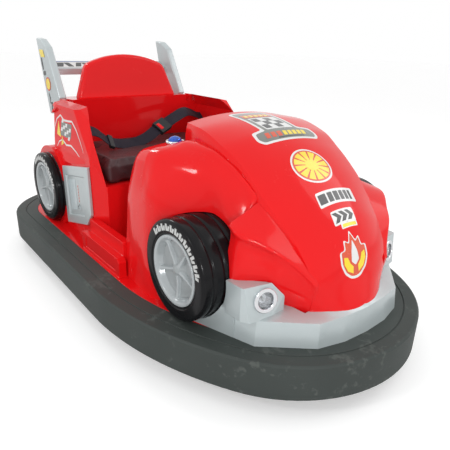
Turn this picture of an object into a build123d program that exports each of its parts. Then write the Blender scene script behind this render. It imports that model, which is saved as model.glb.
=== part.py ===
from build123d import *
import math
import os

# Battery bumper car with a racing body. Millimetres, X forward, Y left, Z up,
# origin on the floor below the middle of the bumper.

# Bumper ring
LENGTH = 1900.0
HALF_WIDTH = 536.0
GROUND_GAP = 55.0          # floor to the underside of the bumper
BUMPER_HEIGHT = 112.0
BUMPER_WIDTH = 95.0
NOSE_TAPER = 91.0          # how much smaller the nose's radius is than the half width
FLANK_END = 776.0          # straight flank's front end, back from the nose
REAR_CORNER = 331.0
BUMPER_EDGE = 6.0          # chamfer of the rubber edges
GROOVE_INSET = 44.0
GROOVE_WIDTH = 4.0
GROOVE_DEPTH = 3.0

# Places of the two wheel stations, from the ends of the bumper
FRONT_OVERHANG = 467.0
REAR_OVERHANG = 412.0

# Steelwork
HOOP_WALL = 8.0
HOOP_RISE = 8.0            # hoop's lower edge above the rubber's
RAIL_Y = 185.0
RAIL_WIDTH = 30.0
RAIL_HEIGHT = 40.0
RAIL_SETBACK = 260.0       # rail ends, from the ends of the bumper
CROSS_HEIGHT = 30.0
CROSS_WIDTH = 30.0
PLATE = 10.0
PLATE_LENGTH = 120.0
TIE_HOLE_RADIUS = 5.5
TIE_HOLE_SPACING = 120.0
TIE_SETBACK = 90.0         # middle of the tie-down holes, from the rail's end

# Drive unit
DRIVE_OFFSET = 37.0        # kingpin ahead of the front mock wheel's centre
DRIVE_RADIUS = 110.0
DRIVE_WIDTH = 60.0
DRIVE_BAND = 32.0          # tyre thickness
TYRE_EDGE = 6.0
AXLE_RADIUS = 10.0
FORK_ARM = 8.0
FORK_SIDE_GAP = 6.0
FORK_FOOT = 22.0
FORK_CROWN = 45.0
CROWN_THICK = 12.0
CROWN_GAP = 14.0           # tyre to crown
KINGPIN_RADIUS = 15.0
KINGPIN_TOP = 16.0         # kingpin's end inside the gearbox
HEAD_RADIUS = 32.0
HEAD_LENGTH = 64.0
BRIDGE_HALF = 25.0
BRIDGE_BAR = 30.0
BRIDGE_DROP = 36.0         # bar's underside below the head's top
GEARBOX_HEIGHT = 70.0
GEARBOX_HALF = 38.0
GEARBOX_EDGE = 10.0
MOTOR_RADIUS = 42.0
MOTOR_LENGTH = 62.0
DRIVE_HOLE = 134.0         # radius of the deck's opening over the drive unit

# Casters
CASTER_OFFSET = 58.0       # ahead of the rear mock wheel's centre
CASTER_Y = 300.0
CASTER_RADIUS = 50.0
CASTER_WIDTH = 28.0
CASTER_TRAIL = 30.0
CASTER_PIN = 10.0
CASTER_AXLE = 6.0
CASTER_ARM = 4.0
CASTER_CROWN = 6.0
CASTER_BOSS = 26.0         # pad's radius and height
CASTER_TOP_GAP = 8.0
CASTER_SIDE_GAP = 5.0
CASTER_FOOT = 16.0         # half width of the fork's foot

# Clearances
FIT = 0.3
RUN = 6.0

# Body skin
SKIN = 5.0
DECK_THICK = 6.0

# Steering
COLUMN_BACK = 353.0        # steering wheel's centre behind the front mock wheel's
WHEEL_CENTRE_H = 388.0     # above the deck
WHEEL_RADIUS = 140.0
GRIP_RADIUS = 13.0
GRIP_SIDES = 8
HUB_RADIUS = 34.0
HUB_THICK = 22.0
HUB_BACK = 8.0             # hub's rear face behind the wheel's centre
SPOKE_WIDTH = 22.0
SPOKE_THICK = 6.0
COLUMN_SLOPE = 28.0
SHAFT_RADIUS = 10.0
BUSH_WALL = 9.0

# Mock wheels moulded on the body: place, tyre radius, inner face
MOCK_FRONT_RADIUS = 151.0
MOCK_REAR_RADIUS = 147.0
MOCK_FRONT_INNER = 262.0
MOCK_REAR_INNER = 300.0
MOCK_OUTER = 424.0
MOCK_RIM = 107.0
MOCK_SINK = 3.0            # how far the tyre stands into the deck
RIM_DEPTH = 40.0           # rim's dish, from the tyre's outer face
RIM_LIP = 12.0
SPOKES = 5

# Levels above the deck
SILL_H = 118.0
BOARD_H = 68.0
RIM_H = 513.0              # cockpit rim's inner edge
KNEE_H = 348.0
SEAT_H = 252.0
CUSHION_THICK = 80.0
BACK_HEIGHT = 180.0        # seat back above the rim

# Cockpit
SILL_Y = HALF_WIDTH - 134.0
SILL_WALL = 29.0
BOARD_Y = HALF_WIDTH - 106.0
BOARD_HALF = 156.0
BODY_Y = 385.0
COCKPIT_Y = 355.0
TAIL_Y = 287.0
FIN_THICK = 33.0

DECK = GROUND_GAP + BUMPER_HEIGHT
FRONT_X = LENGTH / 2 - FRONT_OVERHANG      # front mock wheels' centre
REAR_X = -LENGTH / 2 + REAR_OVERHANG       # rear mock wheels' centre
SIDES = (("left", 1), ("right", -1))


def fore(points):
    """Front body points of (x, ...) measured from the front wheels' centre."""
    return [(FRONT_X + p[0], *p[1:]) for p in points]


def aft(points):
    """Rear body points of (x, ...) measured from the rear wheels' centre."""
    return [(REAR_X + p[0], *p[1:]) for p in points]


def ring_face(inset):
    """Plan of the car at a distance inside the bumper's outer face."""
    half = HALF_WIDTH - inset
    tail = -LENGTH / 2 + inset
    corner = REAR_CORNER - inset
    nose = HALF_WIDTH - NOSE_TAPER
    nose_x = LENGTH / 2 - nose
    flank_x = LENGTH / 2 - FLANK_END
    reach = nose_x - flank_x
    flank = (reach ** 2 + HALF_WIDTH ** 2 - nose ** 2) / (2 * NOSE_TAPER)
    turn = math.atan2(reach, flank - HALF_WIDTH)

    def on_flank(angle):
        r = flank - inset
        return flank_x + r * math.sin(angle), HALF_WIDTH - flank + r * math.cos(angle)

    slant = corner * math.sqrt(0.5)
    edges = []
    for s in (1, -1):
        start = (tail, s * (half - corner))
        middle = (tail + corner - slant, s * (half - corner + slant))
        straight = (tail + corner, s * half)
        shoulder = (flank_x, s * half)
        swing, tip = on_flank(turn / 2), on_flank(turn)
        edges.append(ThreePointArc(start, middle, straight))
        edges.append(Line(straight, shoulder))
        edges.append(ThreePointArc(shoulder, (swing[0], s * swing[1]), (tip[0], s * tip[1])))
    tip = on_flank(turn)
    edges.append(ThreePointArc(tip, (nose_x + nose - inset, 0), (tip[0], -tip[1])))
    edges.append(Line((tail, half - corner), (tail, corner - half)))
    return make_face(Wire(edges))


def slab(face, low, high):
    return extrude(face.moved(Location((0, 0, low))), high - low, dir=(0, 0, 1))


def plan(points, low, high):
    """Upright prism from a closed plan outline."""
    return slab(make_face(Polyline(*points, close=True)), low, high)


def side(points, y0, y1):
    """Prism along Y from a closed side outline of (x, height above the deck)."""
    outline = Polyline(*[(x, min(y0, y1), DECK + h) for x, h in points], close=True)
    return extrude(make_face(outline), abs(y1 - y0), dir=(0, 1, 0))


def front(points, x0, x1):
    """Prism along X from a closed front outline of (y, height above the deck)."""
    outline = Polyline(*[(x0, y, DECK + h) for y, h in points], close=True)
    return extrude(make_face(outline), x1 - x0, dir=(1, 0, 0))


def block(x0, x1, y0, y1, z0, z1):
    return Pos((x0 + x1) / 2, (y0 + y1) / 2, (z0 + z1) / 2) * Box(x1 - x0, abs(y1 - y0), z1 - z0)


def rod(start, end, radius):
    """Round bar between two points."""
    a = Vector(*start)
    d = Vector(*end) - a
    return extrude(Plane(origin=a, z_dir=d) * Circle(radius), d.length)


def cross_rod(x, y0, y1, z, radius):
    return rod((x, y0, z), (x, y1, z), radius)


def section(x, points):
    """Face across the car from (y, height above the deck)."""
    return make_face(Polyline(*[(x, y, DECK + h) for y, h in points], close=True))


def beyond(a, b, c, outside):
    """Everything on the far side of the plane through three points."""
    plane = Plane(origin=a, x_dir=Vector(*b) - Vector(*a),
                  z_dir=(Vector(*b) - Vector(*a)).cross(Vector(*c) - Vector(*a)))
    if plane.to_local_coords(Vector(*outside)).Z < 0:
        plane = Plane(origin=a, x_dir=plane.x_dir, z_dir=-plane.z_dir)
    return plane * Pos(0, 0, LENGTH / 2) * Box(LENGTH, LENGTH, LENGTH)


def flip(shape):
    """The same piece on the other side of the car."""
    return mirror(shape, about=Plane.XZ)


def both(shape):
    return shape + flip(shape)


def on_side(shape, s):
    return shape if s > 0 else flip(shape)


def save(name, *shapes):
    solids = [solid for shape in shapes for solid in shape.solids()]
    body = solids[0] if len(solids) == 1 else Compound(children=solids)
    export_step(body, f"parts/{name}.step")


os.makedirs("parts", exist_ok=True)


# Rubber bumper
def bumper_ring():
    body = slab(ring_face(0), GROUND_GAP, DECK)
    for z in (GROUND_GAP, DECK):
        edge = [e for e in body.edges() if abs(e.center().Z - z) < FIT]
        body = chamfer(edge, BUMPER_EDGE)
    body -= slab(ring_face(BUMPER_WIDTH), GROUND_GAP - 1, DECK + 1)
    groove = slab(ring_face(GROOVE_INSET), DECK - GROOVE_DEPTH, DECK + 1)
    groove -= slab(ring_face(GROOVE_INSET + GROOVE_WIDTH), GROUND_GAP, DECK + 2)
    return body - groove


save("bumper_ring", bumper_ring())

# Steel hoop behind the bumper
frame_top = DECK - DECK_THICK
hoop_out = BUMPER_WIDTH + FIT
hoop_in = hoop_out + HOOP_WALL
hoop_low = GROUND_GAP + HOOP_RISE
save("bumper_hoop", slab(ring_face(hoop_out), hoop_low, frame_top) - slab(ring_face(hoop_in), 0, DECK))

# Ladder frame, with the pads that carry the casters
rail_front = LENGTH / 2 - RAIL_SETBACK
rail_rear = -LENGTH / 2 + RAIL_SETBACK
drive_x = FRONT_X + DRIVE_OFFSET
caster_x = REAR_X + CASTER_OFFSET
CROSS_FROM_DRIVE = (145.0, -200.0, -500.0)
CROSS_FROM_CASTER = (160.0, -205.0)


def chassis_frame():
    inside = slab(ring_face(hoop_in), 0, DECK)
    low = frame_top - RAIL_HEIGHT
    rail_in, rail_out = RAIL_Y - RAIL_WIDTH / 2, RAIL_Y + RAIL_WIDTH / 2
    body = both(block(rail_rear, rail_front, rail_in, rail_out, low, frame_top))
    crossings = [drive_x + d for d in CROSS_FROM_DRIVE] + [caster_x + d for d in CROSS_FROM_CASTER]
    for x in crossings:
        body += block(x - CROSS_WIDTH / 2, x + CROSS_WIDTH / 2, -HALF_WIDTH, HALF_WIDTH,
                      frame_top - CROSS_HEIGHT, frame_top) & inside
    body += block(caster_x - PLATE_LENGTH / 2, caster_x + PLATE_LENGTH / 2, -HALF_WIDTH, HALF_WIDTH,
                  frame_top - PLATE, frame_top) & inside
    for s in (1, -1):
        pad = Pos(caster_x, s * CASTER_Y, frame_top - PLATE - CASTER_BOSS / 2)
        body += pad * Cylinder(CASTER_BOSS, CASTER_BOSS)
        body -= Pos(caster_x, s * CASTER_Y, frame_top - 2 * PLATE) * Cylinder(CASTER_PIN + FIT, 5 * PLATE)
        for x in (rail_front - TIE_SETBACK, rail_rear + TIE_SETBACK):
            for dx in (-TIE_HOLE_SPACING / 2, TIE_HOLE_SPACING / 2):
                body -= Pos(x + dx, s * RAIL_Y, frame_top - RAIL_HEIGHT / 2) * \
                    Cylinder(TIE_HOLE_RADIUS, RAIL_HEIGHT + 2)
    return body


save("chassis_frame", chassis_frame())

# Bridge over the drive wheel with its bearing head
crown_low = 2 * DRIVE_RADIUS + CROWN_GAP
crown_high = crown_low + CROWN_THICK
head_low = crown_high + RUN
head_high = head_low + HEAD_LENGTH
bridge_low = head_high - BRIDGE_DROP


def bridge_leg(s, grow):
    """Leg that stands on a rail and passes through the deck."""
    half = RAIL_WIDTH / 2 + grow
    return block(drive_x - BRIDGE_HALF - grow, drive_x + BRIDGE_HALF + grow, s * RAIL_Y - half,
                 s * RAIL_Y + half, frame_top, bridge_low + BRIDGE_BAR)


def drive_bridge():
    reach = RAIL_Y + RAIL_WIDTH / 2
    body = block(drive_x - BRIDGE_HALF, drive_x + BRIDGE_HALF, -reach, reach,
                 bridge_low, bridge_low + BRIDGE_BAR)
    body += bridge_leg(1, 0) + bridge_leg(-1, 0)
    head = Pos(drive_x, 0, (head_low + head_high) / 2)
    body += head * Cylinder(HEAD_RADIUS, HEAD_LENGTH)
    return body - head * Cylinder(KINGPIN_RADIUS + FIT, HEAD_LENGTH + 2)


save("drive_bridge", drive_bridge())

# Steering column, from the wheel's hub down to the gearbox
slope = math.radians(COLUMN_SLOPE)
column_axis = (math.cos(slope), 0.0, -math.sin(slope))
column_x = FRONT_X - COLUMN_BACK
column_z = DECK + WHEEL_CENTRE_H


def on_column(distance):
    """Point on the steering axis, measured forward from the wheel's centre."""
    return column_x + distance * column_axis[0], 0.0, column_z + distance * column_axis[2]


SHAFT_GRIP = 14.0          # shaft's engagement in the gearbox
BOSS_BACK = 60.0
BOSS_FRONT = 30.0
column_end = (drive_x - GEARBOX_HALF - column_x) / column_axis[0] + SHAFT_GRIP


def steering_gearbox():
    body = block(drive_x - GEARBOX_HALF, drive_x + GEARBOX_HALF, -GEARBOX_HALF, GEARBOX_HALF,
                 head_high, head_high + GEARBOX_HEIGHT)
    body = fillet(body.edges().filter_by(Axis.Z), GEARBOX_EDGE)
    pit = Pos(drive_x, 0, head_high)
    body -= pit * Cylinder(KINGPIN_RADIUS + FIT, 2 * (KINGPIN_TOP + FIT))
    boss = rod(on_column(column_end - BOSS_BACK), on_column(column_end + BOSS_FRONT),
               SHAFT_RADIUS + BUSH_WALL)
    body += boss - pit * Cylinder(HEAD_RADIUS, 2 * (KINGPIN_TOP + RUN))
    return body - rod(on_column(column_end - 2 * BOSS_BACK), on_column(column_end + FIT), SHAFT_RADIUS + FIT)


save("steering_gearbox", steering_gearbox())


def steering_wheel():
    def across(distance):
        return Plane(origin=on_column(distance), x_dir=(0, 1, 0), z_dir=column_axis)

    ring = WHEEL_RADIUS - GRIP_RADIUS
    grip = Pos(ring, 0, 0) * Plane.XZ * RegularPolygon(GRIP_RADIUS, GRIP_SIDES)
    body = across(0) * revolve(grip, Axis.Z, 360)
    body += across(-HUB_BACK) * Pos(0, 0, HUB_THICK / 2) * Cylinder(HUB_RADIUS, HUB_THICK)
    for angle in (90, 210, 330):
        body += across(2) * Rot(0, 0, angle) * Pos(ring / 2, 0, 0) * Box(ring, SPOKE_WIDTH, SPOKE_THICK)
    return body


save("steering_wheel", steering_wheel())
save("steering_shaft", rod(on_column(HUB_THICK - HUB_BACK), on_column(column_end), SHAFT_RADIUS))

# Drive wheel, its fork, kingpin and motor
arm_y = DRIVE_WIDTH / 2 + FORK_SIDE_GAP
arm_out = arm_y + FORK_ARM


def drive_fork():
    body = Pos(drive_x, 0, (crown_low + crown_high) / 2) * Box(2 * FORK_CROWN, 2 * arm_out, CROWN_THICK)
    foot = DRIVE_RADIUS - FORK_FOOT - DECK
    top = crown_low - DECK
    outline = [(drive_x - FORK_FOOT, foot), (drive_x + FORK_FOOT, foot), (drive_x + FORK_CROWN, top),
               (drive_x - FORK_CROWN, top)]
    body += both(side(outline, arm_y, arm_out))
    pin = head_high + KINGPIN_TOP - crown_high
    body += Pos(drive_x, 0, crown_high + pin / 2) * Cylinder(KINGPIN_RADIUS, pin)
    return body - cross_rod(drive_x, -2 * arm_out, 2 * arm_out, DRIVE_RADIUS, AXLE_RADIUS + FIT)


def drive_tyre():
    half = DRIVE_WIDTH / 2
    tyre = cross_rod(drive_x, -half, half, DRIVE_RADIUS, DRIVE_RADIUS)
    tyre = chamfer(tyre.edges().filter_by(GeomType.CIRCLE), TYRE_EDGE)
    return tyre - cross_rod(drive_x, -DRIVE_WIDTH, DRIVE_WIDTH, DRIVE_RADIUS, DRIVE_RADIUS - DRIVE_BAND)


def drive_hub():
    half = DRIVE_WIDTH / 2 - 2
    hub = cross_rod(drive_x, -half, half, DRIVE_RADIUS, DRIVE_RADIUS - DRIVE_BAND)
    return hub + cross_rod(drive_x, -arm_out, arm_out + 2, DRIVE_RADIUS, AXLE_RADIUS)


save("drive_fork", drive_fork())
save("drive_tyre", drive_tyre())
save("drive_hub", drive_hub())
save("drive_motor", cross_rod(drive_x, -arm_out - FIT, -arm_out - MOTOR_LENGTH, DRIVE_RADIUS, MOTOR_RADIUS))

# Swivel casters
crown_z = 2 * CASTER_RADIUS + CASTER_TOP_GAP
caster_axle_x = caster_x - CASTER_TRAIL


def caster_fork(s):
    y = s * CASTER_Y
    inner = CASTER_WIDTH / 2 + CASTER_SIDE_GAP
    half = inner + CASTER_ARM
    body = Pos(caster_x, y, crown_z + CASTER_CROWN / 2) * Cylinder(CASTER_BOSS + 4, CASTER_CROWN)
    body += block(caster_axle_x - 2 * CASTER_PIN, caster_x + 2 * CASTER_PIN, y - half, y + half,
                  crown_z, crown_z + CASTER_CROWN)
    foot = CASTER_RADIUS - CASTER_FOOT - DECK
    top = crown_z - DECK
    outline = [(caster_axle_x - CASTER_FOOT, foot), (caster_axle_x + CASTER_FOOT, foot),
               (caster_x + 2 * CASTER_PIN, top), (caster_axle_x - 2 * CASTER_PIN, top)]
    for t in (1, -1):
        body += side(outline, y + t * inner, y + t * half)
    body += Pos(caster_x, y, (crown_z + frame_top) / 2) * Cylinder(CASTER_PIN, frame_top - crown_z - 4)
    return body - cross_rod(caster_axle_x, y - 2 * half, y + 2 * half, CASTER_RADIUS, CASTER_AXLE + FIT)


def caster_wheel(s):
    y = s * CASTER_Y
    half = CASTER_WIDTH / 2
    wheel = cross_rod(caster_axle_x, y - half, y + half, CASTER_RADIUS, CASTER_RADIUS)
    wheel = chamfer(wheel.edges().filter_by(GeomType.CIRCLE), 4)
    end = half + CASTER_SIDE_GAP + CASTER_ARM + 2
    return wheel + cross_rod(caster_axle_x, y - end, y + end, CASTER_RADIUS, CASTER_AXLE)


for name, s in SIDES:
    save(f"caster_fork_{name}", caster_fork(s))
    save(f"caster_wheel_{name}", caster_wheel(s))

# Deck with running boards and sills
PILLAR_X = 410.0           # foot of the pillar's outer edge, ahead of the rear wheels' centre
FENDER_BACK = 335.0        # fender's rear face, behind the front wheels' centre
STEP_EDGE = 14.0
RECESS_END = 30.0
RECESS_DEPTH = 3.0
sill_rear = REAR_X + PILLAR_X
sill_front = FRONT_X - FENDER_BACK
sill_in = SILL_Y - SILL_WALL


def lower_tub():
    body = slab(ring_face(hoop_out), frame_top, DECK)
    middle = (sill_rear + sill_front) / 2
    rear, nose = middle - BOARD_HALF, middle + BOARD_HALF
    board = [(rear, 0), (nose, 0), (nose, BOARD_H - STEP_EDGE), (nose - STEP_EDGE, BOARD_H), (rear, BOARD_H)]
    board = side(board, SILL_Y, BOARD_Y)
    reach = BOARD_HALF - RECESS_END
    recess = [(middle - reach, STEP_EDGE), (middle + reach, STEP_EDGE),
              (middle + reach, BOARD_H - STEP_EDGE), (middle - reach, BOARD_H - STEP_EDGE)]
    board -= side(recess, BOARD_Y - RECESS_DEPTH, BOARD_Y + 1)
    sill = side([(sill_rear + FIT, 0), (sill_front - FIT, 0), (sill_front - FIT, SILL_H),
                 (sill_rear + FIT, SILL_H)], sill_in, SILL_Y)
    body += both(board + sill)
    body -= bridge_leg(1, FIT) + bridge_leg(-1, FIT)
    return body - Pos(drive_x, 0, DECK) * Cylinder(DRIVE_HOLE, 2 * HOOP_RISE + DECK_THICK * 4)


save("lower_tub", lower_tub())


# Mock wheel housings
def housing(x, radius, inner, grow):
    """Round space that a mock wheel fills, grown by a clearance or a wall."""
    return cross_rod(x, inner - grow, HALF_WIDTH, DECK + radius - MOCK_SINK, radius + grow)


def front_housing(grow):
    return housing(FRONT_X, MOCK_FRONT_RADIUS, MOCK_FRONT_INNER, grow)


def rear_housing(grow):
    return housing(REAR_X, MOCK_REAR_RADIUS, MOCK_REAR_INNER, grow)


# Hood sections: x, half width at the crease, crease height, height on the centre line
HOOD = (
    (-243.0, 200.0, 517.0, 538.0),
    (-163.0, 214.0, 515.0, 534.0),
    (-43.0, 222.0, 485.0, 514.0),
    (37.0, 212.0, 442.0, 479.0),
    (117.0, 210.0, 380.0, 426.0),
    (197.0, 191.0, 305.0, 360.0),
    (277.0, 170.0, 216.0, 278.0),
    (367.0, 141.0, 46.0, 156.0),
)
HOOD_WALL = 36.0           # height of the wall below the crease
HOOD_SPLAY = 10.0          # how far the wall leans out at its foot
# Fender sections: x, then y and height of the gutter, ridge, shoulder, waist and foot's y
FENDER = (
    (-335.0, 200.0, 392.0, 260.0, 398.0, 345.0, 385.0, 376.0, 270.0, 385.0),
    (-293.0, 205.0, 450.0, 260.0, 444.0, 335.0, 422.0, 388.0, 330.0, 411.0),
    (-228.0, 212.0, 470.0, 262.0, 465.0, 330.0, 438.0, 385.0, 370.0, 415.0),
    (-153.0, 222.0, 476.0, 257.0, 483.0, 320.0, 446.0, 382.0, 340.0, 407.0),
    (-63.0, 226.0, 468.0, 247.0, 474.0, 302.0, 425.0, 345.0, 305.0, 350.0),
    (17.0, 219.0, 438.0, 235.0, 441.0, 274.0, 388.0, 284.0, 310.0, 286.0),
    (77.0, 214.0, 400.0, 225.0, 405.0, 256.0, 345.0, 281.0, 292.0, 284.0),
    (117.0, 210.0, 368.0, 217.0, 374.0, 248.0, 330.0, 280.0, 270.0, 284.0),
)
FENDER_INNER = 196.0
# Cheek sections: x, then y and height of the gutter, ridge, hollow and belly, and the foot's y
CHEEK = (
    (117.0, 214.0, 362.0, 318.0, 318.0, 306.0, 290.0, 328.0, 180.0, 344.0),
    (149.0, 212.0, 338.0, 326.0, 309.0, 312.0, 280.0, 330.0, 180.0, 344.0),
    (217.0, 193.0, 276.0, 271.0, 273.0, 252.0, 245.0, 268.0, 180.0, 203.0),
    (241.0, 184.0, 250.0, 248.0, 258.0, 236.0, 235.0, 248.0, 175.0, 188.0),
    (289.0, 166.0, 188.0, 180.0, 188.0, 172.0, 172.0, 170.0, 130.0, 163.0),
    (309.0, 150.0, 150.0, 156.0, 157.0, 155.0, 146.0, 145.0, 105.0, 114.0),
)
# Front face's plan: height, x at the edges, x on the centre line, half width
NOSE_CUT = (
    (-DECK_THICK, 289.0, 353.0, 163.0),
    (78.0, 289.0, 353.0, 163.0),
    (163.0, 305.0, 317.0, 161.0),
    (252.0, 293.0, 303.0, 161.0),
    (600.0, 240.0, 250.0, 161.0),
)


def hood(inset, back):
    """Crowned centre of the front body, made smaller all round by the inset."""
    faces = []
    for x, half, crease, crown in fore(HOOD):
        x_in = x - back if x == FRONT_X + HOOD[0][0] else x
        top, mid = DECK + crease - inset, DECK + crown - inset
        w = half - inset
        f = w + HOOD_SPLAY
        foot = DECK - (1 if inset > 0 else 0)
        wall = max(top - HOOD_WALL, foot + 1)
        arc = ThreePointArc((x_in, w, top), (x_in, 0, mid), (x_in, -w, top))
        rest = Polyline((x_in, -w, top), (x_in, -f, wall), (x_in, -f, foot), (x_in, f, foot), (x_in, f, wall),
                        (x_in, w, top))
        faces.append(make_face(Wire([arc] + list(rest.edges()))))
    return loft(faces, ruled=True)


def fender(inset):
    foot = -1.0 if inset > 0 else 0.0
    inner = FENDER_INNER + inset
    faces = []
    rows = fore(FENDER)
    for x, gy, gh, ry, rh, sy, sh, wy, wh, fy in rows:
        x_in = x + inset if x == rows[0][0] else (x - inset if x == rows[-1][0] else x)
        faces.append(section(x_in, [(inner, foot), (inner, gh - inset), (gy, gh - inset), (ry, rh - inset),
                                    (sy - inset, sh - inset), (wy - inset, wh), (fy - inset, foot)]))
    return loft(faces, ruled=True)


def cheek(inset):
    foot = -1.0 if inset > 0 else 0.0
    faces = []
    for x, gy, gh, ry, rh, hy, hh, by, bh, fy in fore(CHEEK):
        top = gh - inset
        faces.append(section(x, [(0, foot), (0, top), (gy - inset, top), (ry - inset, rh - inset),
                                 (hy - inset, hh), (by - inset, bh), (fy - inset, NOSE_CUT[1][0]),
                                 (fy - inset, foot)]))
    return loft(faces, ruled=True)


def nose_space(inset):
    """Everything behind the nose's front face."""
    faces = []
    for h, edge, centre, half in NOSE_CUT:
        x0, x1, z = FRONT_X + edge - inset, FRONT_X + centre - inset, DECK + h
        back = FRONT_X - 2 * FENDER_BACK
        arc = ThreePointArc((x0, half, z), (x1, 0, z), (x0, -half, z))
        rest = Polyline((x0, -half, z), (x0, -HALF_WIDTH, z), (back, -HALF_WIDTH, z), (back, HALF_WIDTH, z),
                        (x0, HALF_WIDTH, z), (x0, half, z))
        faces.append(make_face(Wire([arc] + list(rest.edges()))))
    return loft(faces, ruled=True)


def front_form(inset, back):
    body = hood(inset, back) + both(cheek(inset))
    body = body & nose_space(inset)
    return body + both(fender(inset))


# Jewel lamps stand on pads on the fenders
JEWEL_X = -221.0
JEWEL_Y = 262.0
JEWEL_SINK = 3.68          # seat below the fender's ridge line
JEWEL_RADIUS = 29.5
JEWEL_RIM = 8.0
JEWEL_LENS = 21.5
JEWEL_SIDES = 12
PAD_EDGE = 3.0
PAD_DEPTH = 24.0
FOOT_OPENING = (150.0, 200.0)      # half width and height of the opening into the hood
COWL_BACK = 1.0


def ridge_height(x):
    """Height of the fender's ridge, straight between its sections."""
    for before, after in zip(FENDER, FENDER[1:]):
        if before[0] <= x < after[0]:
            return before[4] + (after[4] - before[4]) * (x - before[0]) / (after[0] - before[0])


jewel_h = ridge_height(JEWEL_X) - JEWEL_SINK


def jewel_pad(rise):
    """Round pad below the jewel's seat, or the space above it."""
    middle = Pos(FRONT_X + JEWEL_X, JEWEL_Y, DECK + jewel_h + rise * PAD_DEPTH / 2)
    return middle * Cylinder(JEWEL_RADIUS + PAD_EDGE, PAD_DEPTH)


def front_body():
    outer = front_form(0, 0)
    inner = front_form(SKIN, COWL_BACK) - both(front_housing(FIT + SKIN))
    body = outer - inner + both(jewel_pad(-1))
    body -= both(jewel_pad(1))
    body -= both(front_housing(FIT))
    return body - dash_space(FIT)


# Dash panel closing the cowl, with the column bush
DASH_SINK = 3.0            # dash panel ahead of the cowl's rear edge
BUSH_BACK = 30.0           # column bush, from the panel's middle
BUSH_AHEAD = 60.0
DASH_THICK = 6.0
DASH_LOW_H = 230.0
dash_x = FRONT_X + HOOD[0][0] + DASH_SINK
dash_at = (dash_x + DASH_THICK / 2 - column_x) / column_axis[0]


def dash_space(grow):
    gap = SKIN + FIT - grow
    return hood(gap, 0) & block(dash_x - grow, dash_x + DASH_THICK + grow, -HALF_WIDTH, HALF_WIDTH,
                                DECK + DASH_LOW_H - grow, DECK + RIM_H * 2)


def dash_panel():
    body = dash_space(0)
    back, ahead = dash_at - BUSH_BACK, dash_at + BUSH_AHEAD
    body += rod(on_column(back), on_column(ahead), SHAFT_RADIUS + BUSH_WALL)
    return body - rod(on_column(back - BUSH_BACK), on_column(ahead + BUSH_BACK), SHAFT_RADIUS + FIT)


save("front_body", front_body())
save("dash_panel", dash_panel())

# Apron plans at the deck, at the top of its face and at the nose: x, y
APRON_LOW = ((132, 344), (239, 310), (348, 179), (370, 92), (375, 0))
APRON_HIGH = ((132, 344), (233, 302), (343, 173), (358, 84), (363, 0))
NOSE_SEAT = ((132, 338), (157, 330), (207, 190), (277, 160), (343, 0))
APRON_H = 73.0
APRON_RISE = 19.0
APRON_MOUTH = 25.0         # depth of the opening behind the apron
LAMP_BOX = ((132, 344), (207, 338), (245, 318), (245, 214), (207, 208), (132, 250))
LAMP_BOX_H = 172.0
LAMP_X = 233.0
LAMP_Y = 276.0
LAMP_H = 128.0
LAMP_TURN = 12.0
LAMP_RAKE = 8.0
LAMP_RADIUS = 35.0
LAMP_LENS = 23.0
LAMP_RING = 8.0
LAMP_DEPTH = 24.0
LAMP_EDGE = 4.0            # bezel's overlap on the box, and the cup's bottom


def lamp_plane():
    turn, rake = math.radians(LAMP_TURN), math.radians(LAMP_RAKE)
    look = Vector(math.cos(turn), math.sin(turn), math.sin(rake))
    return Plane(origin=(FRONT_X + LAMP_X, LAMP_Y, DECK + LAMP_H), x_dir=(-look.Y, look.X, 0), z_dir=look)


def apron_outline(points, h):
    half = fore(points)
    full = half + [(x, -y) for x, y in reversed(half) if y]
    return make_face(Polyline(*[(x, y, DECK + h) for x, y in full], close=True))


def apron_form(inset):
    low = [(x - inset, y - inset if y else 0) for x, y in APRON_LOW]
    high = [(x - inset, y - inset if y else 0) for x, y in APRON_HIGH]
    return loft([apron_outline(low, -1 if inset else 0), apron_outline(high, APRON_H)], ruled=True)


def lamp_box():
    keep = lamp_plane() * Pos(0, 0, -HALF_WIDTH / 2) * Box(HALF_WIDTH, HALF_WIDTH, HALF_WIDTH)
    return plan(fore(LAMP_BOX), DECK + APRON_H - 1, DECK + LAMP_BOX_H) & keep


def lamp_bore():
    return lamp_plane() * Pos(0, 0, -LAMP_DEPTH / 2) * Cylinder(LAMP_RADIUS - LAMP_EDGE, LAMP_DEPTH + 2)


def front_apron():
    body = apron_form(0)
    top, seat = apron_outline(APRON_HIGH, APRON_H), apron_outline(NOSE_SEAT, APRON_H + APRON_RISE)
    body += loft([top, seat], ruled=True)
    body += both(lamp_box())
    x0, x1 = FRONT_X + APRON_LOW[0][0], FRONT_X + 2 * LAMP_X
    wide = APRON_LOW[0][1] - 3 * SKIN
    body -= apron_form(SKIN) & block(x0, x1, -wide, wide, DECK - 2, DECK + APRON_H - SKIN)
    body -= block(x0 - SKIN, x0 + APRON_MOUTH, -wide, wide, DECK - 1, DECK + APRON_H + APRON_RISE)
    body -= front_form(-FIT, 0)
    body -= both(front_housing(FIT) + lamp_bore())
    return body


save("front_apron", front_apron())


def lamp_bezel():
    cup_radius = LAMP_RADIUS - LAMP_EDGE - 1
    ring = Cylinder(LAMP_RADIUS, LAMP_RING) - Cylinder(LAMP_LENS + FIT, LAMP_RING + 2)
    cup = Cylinder(cup_radius, LAMP_DEPTH - 2) - Cylinder(LAMP_LENS + FIT, LAMP_DEPTH)
    cup = Pos(0, 0, -LAMP_DEPTH / 2 + 2) * cup
    cup += Pos(0, 0, -LAMP_DEPTH + LAMP_EDGE) * Cylinder(cup_radius, LAMP_EDGE)
    return lamp_plane() * Pos(0, 0, LAMP_RING / 2 + FIT) * (ring + cup)


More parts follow.
